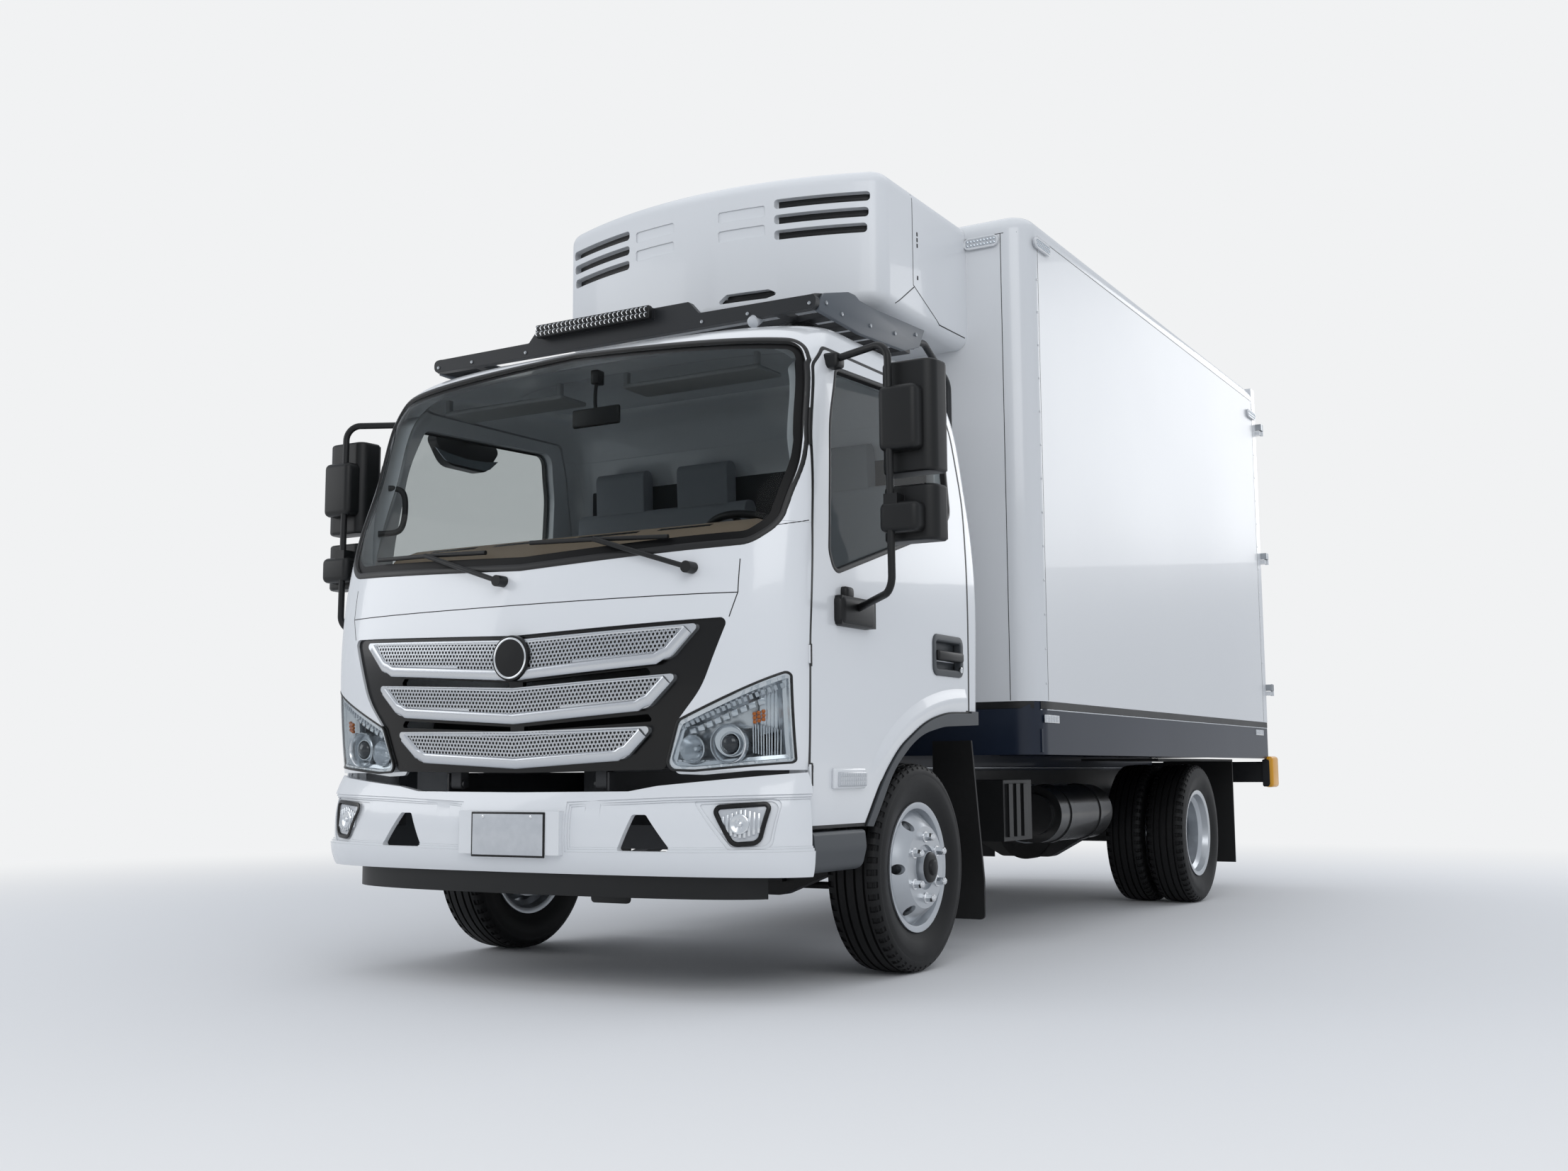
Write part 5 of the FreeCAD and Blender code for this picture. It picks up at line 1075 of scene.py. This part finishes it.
# %% Bumper face
MOUNT_X = (299, 361)
MOUNT_Z = (584, 645)
shell = bmesh.new()
shell.from_mesh(NODES["front_bumper"].data)
bmesh.ops.remove_doubles(shell, verts=shell.verts, dist=WELD_M)
face_points = []
for vert in shell.verts:
    x, z = abs(vert.co.x * 1000), vert.co.z * 1000
    if MOUNT_X[0] < x < MOUNT_X[1] and MOUNT_Z[0] < z < MOUNT_Z[1] and vert.co.y < at(0, -1098, 0).y:
        face_points.append(vert)
moves = []
for vert in face_points:
    field = [v.co.y for v in face_points if v.co.x * vert.co.x > 0 and abs(v.co.x - vert.co.x) < 0.001
             and abs(v.co.z - vert.co.z) < 0.0065 and 0.002 < v.co.y - vert.co.y < 0.012]
    if field:
        moves.append((vert, max(field)))
for vert, depth in moves:
    vert.co.y = depth
print("bumper points set back", len(moves))
bumper_shell = shaped(shell, "bumper_shell", cab_enamel, BODY_OF["front_bumper"])
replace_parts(bumper_shell, "front_bumper")

# %% [markdown]
# ## Small fittings on the outside
# A blank number plate with two screws, the door's pull handle in its dark cup, the low side lamp,
# the air vent in the pillar, the side reflectors and the tail lamp covers.

# %% Number plate
PLATE_Y = -1144
frame_rows = [((-161, PLATE_Y - 4, 453), (161, PLATE_Y + 1, 606), 2.4)]
shaped(blocks(frame_rows), "number_plate_frame", gloss_black, "chassis")
blank_rows = [((-154, PLATE_Y - 6, 460), (154, PLATE_Y - 2, 599), 1.8)]
shaped(blocks(blank_rows), "number_plate_blank", pearl_lens, "chassis")
screw_places = [at(x, PLATE_Y - 6, 590) for x in (-105, 105)]
screws = turned([(0, 6), (2, 5.5), (3, 3), (3.2, 0.1)], screw_places, FRONT, 16)
shaped(screws, "number_plate_screws", chrome, "chassis")

# %% Door fittings
CUP_CORNERS = ((324, 1222, 0), (118, 1222, 90), (118, 1134, 180), (324, 1134, 270))
CUP_RADIUS = 26
CUP_RIM = [(-10, -1), (-9, 4), (-3, 6), (12, 6), (17, 2), (20, -22)]
LOCK = [(0, 12), (5, 11.5), (6, 9), (5.4, 4), (5.4, 0.1)]
VENT_SECTION = [(-8, 0.2), (-7, 4), (-3, 6), (3, 6), (7, 4), (8, 0.2)]
VENT = ((-765, 1826), (-753, 1895), (-741, 1963))
VENT_X = 985
for side, sign in SIDES:
    door = "cab_door_" + side
    way = OUT[sign]
    door_tree = skin([door], way)[0]
    ring = []
    for y, z, start in CUP_CORNERS:
        for step in range(5):
            angle = math.radians(start + step * 22.5)
            ring.append(at(sign * 1060, y + CUP_RADIUS * math.cos(angle), z + CUP_RADIUS * math.sin(angle)))
    ring = spaced(ring, 12, True)
    hits = [door_tree.ray_cast(point, -way)[0] for point in ring]
    skin_x = max(abs(hit.x) for hit in hits if hit)
    cup = bmesh.new()
    swept(cup, [Vector((sign * skin_x, point.y, point.z)) for point in ring], door_tree, CUP_RIM, hug_mm=99)
    for z, height in ((1134, 44), (1220, 50)):
        spot = sunk(door_tree, 221, z, -0.9, way)[0]
        stud(cup, Vector((spot.x, spot.y, z / 1000)), way, (252, height, 1.4), 0.4)
    shaped(cup, "handle_cup_" + side, grey_trim, BODY_OF[door])
    pull = blocks([((1016, 112, 1158), (1050, 346, 1196), 9)], sign)
    shaped(pull, "door_pull_" + side, matt_black, BODY_OF[door])
    lock = turned(LOCK, [Vector((sign * (skin_x + 0.005), at(0, 330, 0).y, 1.128))], way, 24)
    shaped(lock, "door_lock_" + side, chrome, BODY_OF[door])
    lamp = bmesh.new()
    fitted(lamp, door_tree, -600, 713, -6, (226, 70, 16), 7, way, segments=3)
    shaped(lamp, "side_lamp_base_" + side, cab_enamel, BODY_OF[door])
    lamp = bmesh.new()
    fitted(lamp, door_tree, -592, 711, -13, (204, 50, 14), 5, way, segments=3)
    for k in range(12):
        for row in range(3):
            fitted(lamp, door_tree, -680 + k * 16, 696 + row * 15, -20, (13, 12, 3), 1.4, way)
    shaped(lamp, "side_lamp_lens_" + side, pearl_lens, BODY_OF[door])
    pillar_tree = skin(["cab_pillars"], way, 0.02)[0]
    line = [pillar_tree.find_nearest(at(sign * VENT_X, y, z))[0] for y, z in VENT]
    band("pillar_vent_" + side, line, pillar_tree, VENT_SECTION, matt_black, "cab_pillars", "trim_dark",
         closed=False)
print("door fittings made")

# %% Reflectors and tail lamps
TAIL_LAMPS = (("stop", red_lens, 724, 850), ("turn", amber_lens, 853, 925),
              ("reverse", pearl_lens, 928, 996))
strips = bmesh.new()
for sign in (1, -1):
    band_tree = skin(["box_floor"], OUT[sign])[0]
    for y, z, width in ((1170, 958, 176), (4790, 966, 190)):
        spot, normal = sunk(band_tree, y, z, -1.2, OUT[sign])
        stud(strips, spot, normal, (width, 34, 3), 1.3)
        for k in range(5):
            for row in (-1, 1):
                cell_spot = spot + Vector((0, (k - 2) * width / 5400, row * 0.0075)) + normal * 0.002
                stud(strips, cell_spot, normal, (width / 6, 12, 1.6), 0.7)
shaped(strips, "side_reflectors", pearl_lens, "chassis")
for name, paint, x0, x1 in TAIL_LAMPS:
    covers = bmesh.new()
    for sign in (1, -1):
        block(covers, (sign * x0, 5018, 854), (sign * x1, 5028, 956), 4)
        for z in range(862, 953, 13):
            block(covers, (sign * (x0 + 5), 5026, z), (sign * (x1 - 5), 5030, z + 9), 1.8)
    shaped(covers, "tail_lamp_" + name, paint, "chassis")

# %% [markdown]
# ## Mirrors
# The mirror shells are moulded in grained black, with a raised housing in front that clamps the
# arm, and a flat glass in a thin bezel behind. The lower bracket has a rounded cover and a boot.

# %% Mirror housings and glass
MIRROR_BLOCKS = [
    ((1222, -731, 1800), (1366, -640, 2024), 24, 5), ((1222, -731, 1524), (1366, -640, 1628), 24, 5),
    ((1004, -698, 1228), (1070, -446, 1334), 26, 5), ((1010, -650, 1322), (1060, -590, 1366), 14, 4),
    ((968, -656, 2136), (1034, -594, 2190), 14, 4),
]
MIRROR_HEADS = (("main", 1740, 2109, -567.5), ("lower", 1507, 1683, -572.5))
for side, sign in SIDES:
    body = BODY_OF["mirror_" + side]
    shaped(blocks(MIRROR_BLOCKS, sign), "mirror_housing_" + side, matt_black, body)
    for name, z0, z1, face in MIRROR_HEADS:
        bezel = blocks([((1204, face - 2, z0), (1404, face + 3, z1), 2.4)], sign)
        shaped(bezel, "mirror_bezel_" + name + "_" + side, gloss_black, body)
        glass = blocks([((1211, face + 2, z0 + 8), (1397, face + 4.6, z1 - 8), 1)], sign)
        shaped(glass, "mirror_glass_" + name + "_" + side, mirror_silver, body)

# %% [markdown]
# ## Badge, roof rack and cooling unit
# The round badge keeps only its ring and a dark blank disc. The rack has a light bar with two rows
# of reflectors. The cooling unit's covers meet in a seam, with small latch slots beside it.

# %% Blank badge
BADGE_DISC = [(-22, 80), (-2, 80), (4, 78), (5, 75), (3, 72), (3, 66), (5, 64), (5.4, 40), (5.8, 0.1)]
BADGE_RING = [(2, 72.5), (6, 72), (7.6, 69.5), (7.6, 67.5), (6, 65), (2, 64.5)]
badge_place = Vector((0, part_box("grille_bars")[0][1], BADGE_Z / 1000))
shaped(turned(BADGE_DISC, [badge_place], FRONT, 72), "badge_blank_disc", gloss_black, "cab")
shaped(turned(BADGE_RING, [badge_place], FRONT, 72), "badge_ring", chrome, "cab")

# %% Light bar and rack fittings
BAR_Y = -620
PLATE_OUTLINE = [(-545, 2381), (-545, 2412), (-505, 2456), (-320, 2508), (-268, 2510), (-232, 2498),
                 (-80, 2498), (338, 2519), (286, 2436), (153, 2392), (-227, 2370)]
SIDE_BOLTS = ((-500, 2420), (-380, 2408), (-150, 2420), (60, 2440), (250, 2480))
bar = blocks([((-336, BAR_Y, 2442), (209, BAR_Y + 25, 2492), 5)])
shaped(bar, "light_bar_case", matt_black, "cab")
cup_places = [at(-324 + k * 20.8, BAR_Y, z) for k in range(26) for z in (2456, 2478)]
cups = turned([(2, 9.4), (1, 8.6), (-3, 4), (-3, 0.1)], cup_places, FRONT, 16)
shaped(cups, "light_bar_reflectors", chrome, "cab")
for side, sign in SIDES:
    plate = sheet_of([at(sign * 884, y, z) for y, z in PLATE_OUTLINE], OUT[sign] * 0.021)
    rounded(plate, plate.edges[:], 3, 2)
    shaped(plate, "rack_side_plate_" + side, plate_paint, "cab")
bolts = bmesh.new()
for sign in (1, -1):
    for y, z in SIDE_BOLTS:
        lathe(bolts, [(0, 8), (5, 7.6), (6, 5), (6, 0.1)], at(sign * 905, y, z), OUT[sign], 12)
for x in (-880, -700, -420, 420, 620, 880):
    lathe(bolts, [(0, 7), (4, 6.6), (5, 4), (5, 0.1)], at(x, -575, 2404), FRONT, 12)
shaped(bolts, "rack_bolts", lock_steel, "cab")
lamp = turned([(-30, 12), (-28, 22), (20, 24), (34, 22), (38, 14), (39, 0.1)], [at(640, -545, 2388)],
              (0, -0.3, -0.2), 24)
shaped(lamp, "rack_lamp", pearl_lens, "cab")

# %% Cooling unit seam, latches and grilles
UNIT_SEAM = [(-2.5, 0.2), (-1.6, 0.7), (1.6, 0.7), (2.5, 0.2)]
UNIT_SLAT = [(-6.6, 0.3), (-5, 2.4), (5, 3), (6.6, 0.3)]
UNIT_LINES = ([(455, 3170), (458, 2759), (718, 2650), (985, 2655)], [(470, 2755), (296, 2640)])
unit_seams = bmesh.new()
unit_slots = bmesh.new()
for sign in (1, -1):
    unit_tree = skin(["cooling_unit"], OUT[sign], 0.02)[0]
    for pairs in UNIT_LINES:
        line = [p for p in thrown(unit_tree, pairs, OUT[sign]) if abs(p.x) > 0.6]
        if len(line) > 2:
            swept(unit_seams, line, unit_tree, UNIT_SEAM, closed=False)
    for z in (2990, 2965, 2940, 2800):
        fitted(unit_slots, unit_tree, 500, z, 0, (9, 18, 5), 2, OUT[sign])
unit_front = skin(["cooling_unit"], FRONT, 0.4)[0]
for sign in (1, -1):
    for row in range(3):
        for k in (-1, 0, 1):
            z = 3062 - 66 * row + 12 * k
            ends = [(sign * 372, z), (sign * (742 - 6 * row), z)]
            laid(unit_slots, unit_front, ends, FRONT, UNIT_SLAT, (20, 40))
    for x0, x1, z, high in ((104, 380, 2684, 16), (140, 350, 2698, 14)):
        fitted(unit_slots, unit_front, sign * (x0 + x1) / 2, z, -1, (x1 - x0, high, 4), 4)
shaped(unit_seams, "unit_seams", seal_rubber, "chassis")
shaped(unit_slots, "unit_latches_and_screens", matt_black, "chassis")

# %% [markdown]
# ## The insulated box
# Aluminium corner profiles hold the panels and show as fine lines. A dark rubber strip closes the
# joint above the navy band, and the bright drip strip lies just below it.

# %% Box seams and strips
BOX_LOW = 1033
PANEL_TOP = 3112
PANEL_ENDS = (1128, 4897)
STRIP_ENDS = (1012, 4980)
RUB = [(-17, 0.3), (-16, 3.5), (14, 3.5), (15, 0.3)]
LONG = (60, 60)
box_lines = bmesh.new()
strip = bmesh.new()
rub = bmesh.new()
for sign in (1, -1):
    side_tree = skin(["box_side_walls", "box_edges", "box_rear_frame", "box_floor"], OUT[sign], 0.3)[0]
    for y in PANEL_ENDS:
        laid(box_lines, side_tree, [(y, BOX_LOW + 4), (y, PANEL_TOP - 4)], OUT[sign], SEAM_PROFILE, LONG)
    laid(box_lines, side_tree, [(y, PANEL_TOP) for y in PANEL_ENDS], OUT[sign], SEAM_PROFILE, LONG)
    laid(rub, side_tree, [(y, BOX_LOW - 16) for y in STRIP_ENDS], OUT[sign], RUB, LONG)
    for z, half in ((BOX_LOW - 36, 3), (752, 4)):
        section = [(-half, 0.3), (1 - half, 2.5), (half - 1, 2.5), (half, 0.3)]
        laid(strip, side_tree, [(y, z) for y in STRIP_ENDS], OUT[sign], section, LONG)
front_tree = skin(["box_front_wall", "box_edges", "box_floor"], FRONT, 0.3)[0]
for sign in (1, -1):
    for pairs in ([(969, BOX_LOW + 4), (969, 3112)], [(0, 3114), (1040, 3114)]):
        laid(box_lines, front_tree, [(sign * x, z) for x, z in pairs], FRONT, SEAM_PROFILE, LONG)
laid(rub, front_tree, [(-1060, BOX_LOW - 16), (1060, BOX_LOW - 16)], FRONT, RUB, LONG)
shaped(box_lines, "box_panel_lines", seal_rubber, "chassis")
shaped(rub, "box_rub_strip", seal_rubber, "chassis")
shaped(strip, "box_drip_strips", alloy_strip, "chassis")

# %% Rivets on the corner profiles and the rear frame
RIVET = [(0, 5), (1.6, 4.4), (2.4, 2.2), (2.5, 0.1)]
rivets = bmesh.new()
for sign in (1, -1):
    for z in range(1110, 3061, 150):
        for y in (1112, 4916):
            lathe(rivets, RIVET, at(sign * 1096, y, z), OUT[sign], 8)
        lathe(rivets, RIVET, at(sign * 1062, 4988, z), BACK, 8)
shaped(rivets, "profile_rivets", edge_alloy, "chassis")

# %% Rear door seals and guard paint
LEAF_SEAL = [(-9, -6), (-8, 3), (-2, 5), (10, 4), (14, 0.3)]
for side, sign in SIDES:
    leaf = "rear_door_" + side
    leaf_tree, leaf_lines = skin([leaf], BACK)
    band("rear_door_seal_" + side, leaf_lines[0], leaf_tree, LEAF_SEAL, seal_rubber, leaf, "trim_dark",
         step_mm=80)
    guard = blocks([((1072, 4946, 623), (1128, 5110, 818), 20, 4)], sign)
    shaped(guard, "corner_guard_" + side, guard_paint, "chassis")
print("box dressed")

# %% [markdown]
# ## Inside the cab
# What shows through the glass: sun visors, the inner mirror on its stem, a grab handle on the far
# pillar, the dark felt on the back wall, and the dashboard's padded top with its defroster slots.

# %% Sun visors, inner mirror and grab handle
GRAB_LINE = [(-936, -790, 1872), (-905, -768, 1872), (-884, -752, 1850), (-880, -750, 1780),
             (-884, -762, 1706), (-905, -790, 1686), (-948, -830, 1684)]
visor_rows = []
for x0, x1 in ((120, 720), (-760, -170)):
    visor_rows.append(((x0, -668, 2168), (x1, -500, 2186), 8))
    for x in (x0 + 14, x1 - 14):
        visor_rows.append(((x - 9, -664, 2172), (x + 9, -640, 2232), 3))
shaped(blocks(visor_rows), "sun_visors", visor_cloth, "cab")
inner = blocks([((-7, -806, 2004), (207, -786, 2074), 9, 4), ((44, -762, 2176), (78, -716, 2230), 6)])
shaped(inner, "inner_mirror_shell", gloss_black, "cab")
tube("inner_mirror_stem", [(61, -738, 2206), (66, -770, 2120), (98, -792, 2044)], 7, matt_black, "cab")
inner = blocks([((0, -787, 2011), (200, -784.5, 2067), 1)])
shaped(inner, "inner_mirror_glass", mirror_silver, "cab")
tube("grab_handle", GRAB_LINE, 12, matt_black, "cab")

# %% Back lining
LINING_HALF_W = 850
wall = cast(skin(["cab_back"], FRONT, 0.5)[0], 0, 1950, FRONT)[0]
wall_y = (wall.y - AXLE_Y) * 1000
print("back wall inside at", round(wall_y))
lining = blocks([((-LINING_HALF_W, wall_y - 16, 1330), (LINING_HALF_W, wall_y - 1, 2190), 14)])
shaped(lining, "back_lining", lining_felt, "cab")

# %% [markdown]
# The pad is a row of equal sections side by side. Its front edge curves with the screen, and its
# ends slope down towards the doors.

# %% Padded dashboard top
PAD_HALF_W = 850
PAD_END = 760
PAD_Z = 1380
PAD_REST = [(-880, 1572), (-820, 1596), (-730, 1614), (-672, 1602), (-646, 1560), (-646, PAD_Z)]
PAD_STEPS = 17
pad = bmesh.new()
rows = []
for k in range(-PAD_STEPS, PAD_STEPS + 1):
    x = PAD_HALF_W * k / PAD_STEPS
    front_y = -1045 + 115 * (x / PAD_HALF_W) ** 2
    past = max(0.0, (abs(x) - PAD_END) / (PAD_HALF_W - PAD_END))
    height = 1 - 0.3 * past * past
    section = [(front_y, 1462), (front_y + 40, 1500)] + PAD_REST
    rows.append([pad.verts.new(at(x, y, PAD_Z + (z - PAD_Z) * height)) for y, z in section])
for row, following in zip(rows, rows[1:]):
    for k in range(len(row) - 1):
        pad.faces.new((row[k], row[k + 1], following[k + 1], following[k]))
for row in (rows[0], rows[-1]):
    pad.faces.new(row)
pad.faces.new((rows[0][0], rows[0][-1], rows[-1][-1], rows[-1][0]))
dash_pad = shaped(pad, "dashboard_pad", dash_moulding, "cab", 60)

# %% Defroster slots
SLOT_Y = -850
down = Vector((0, 0, -1))
pad_mesh = bmesh.new()
pad_mesh.from_mesh(dash_pad.data)
pad_tree = BVHTree.FromBMesh(pad_mesh)
pad_mesh.free()
slots = bmesh.new()
for x0, x1 in ((-640, -420), (-330, -60), (60, 330), (420, 640)):
    for k in (-1, 0, 1):
        spot, normal = pad_tree.ray_cast(at((x0 + x1) / 2, SLOT_Y + 9 * k, 1800), down)[:2]
        stud(slots, spot, normal, (x1 - x0, 5, 3), 1)
shaped(slots, "defroster_slots", gloss_black, "cab")
print("cab dressed")

# %% [markdown]
# ## Straps and kerb mirror
# Two clamping straps hold the silencer. The wide-angle kerb mirror above the far door has its
# glass on the inner face of the bowl, where the driver sees it.

# %% Silencer straps
silencer_low, silencer_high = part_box("silencer")
middle = middle_of("silencer")
radius = (silencer_high[2] - silencer_low[2]) * 500
spots = [Vector((middle.x, silencer_low[1] + (silencer_high[1] - silencer_low[1]) * share, middle.z))
         for share in (0.2, 0.8)]
strap = [(-16, radius - 4), (-16, radius + 2.5), (16, radius + 2.5), (16, radius - 4)]
straps = turned(strap, spots, FRONT, 56)
shaped(straps, "silencer_straps", lock_steel, BODY_OF["silencer"])

# %% Kerb mirror glass
KERB_GLASS = [(-388, 2122), (-332, 2080), (-290, 2070), (-80, 2070), (-38, 2082), (16, 2126), (-60, 2112),
              (-190, 2104), (-310, 2112)]
glass = sheet_of([at(-1062.5, y, z) for y, z in KERB_GLASS], (0.003, 0, 0))
shaped(glass, "kerb_mirror_glass", mirror_silver, BODY_OF["mirror_right"])
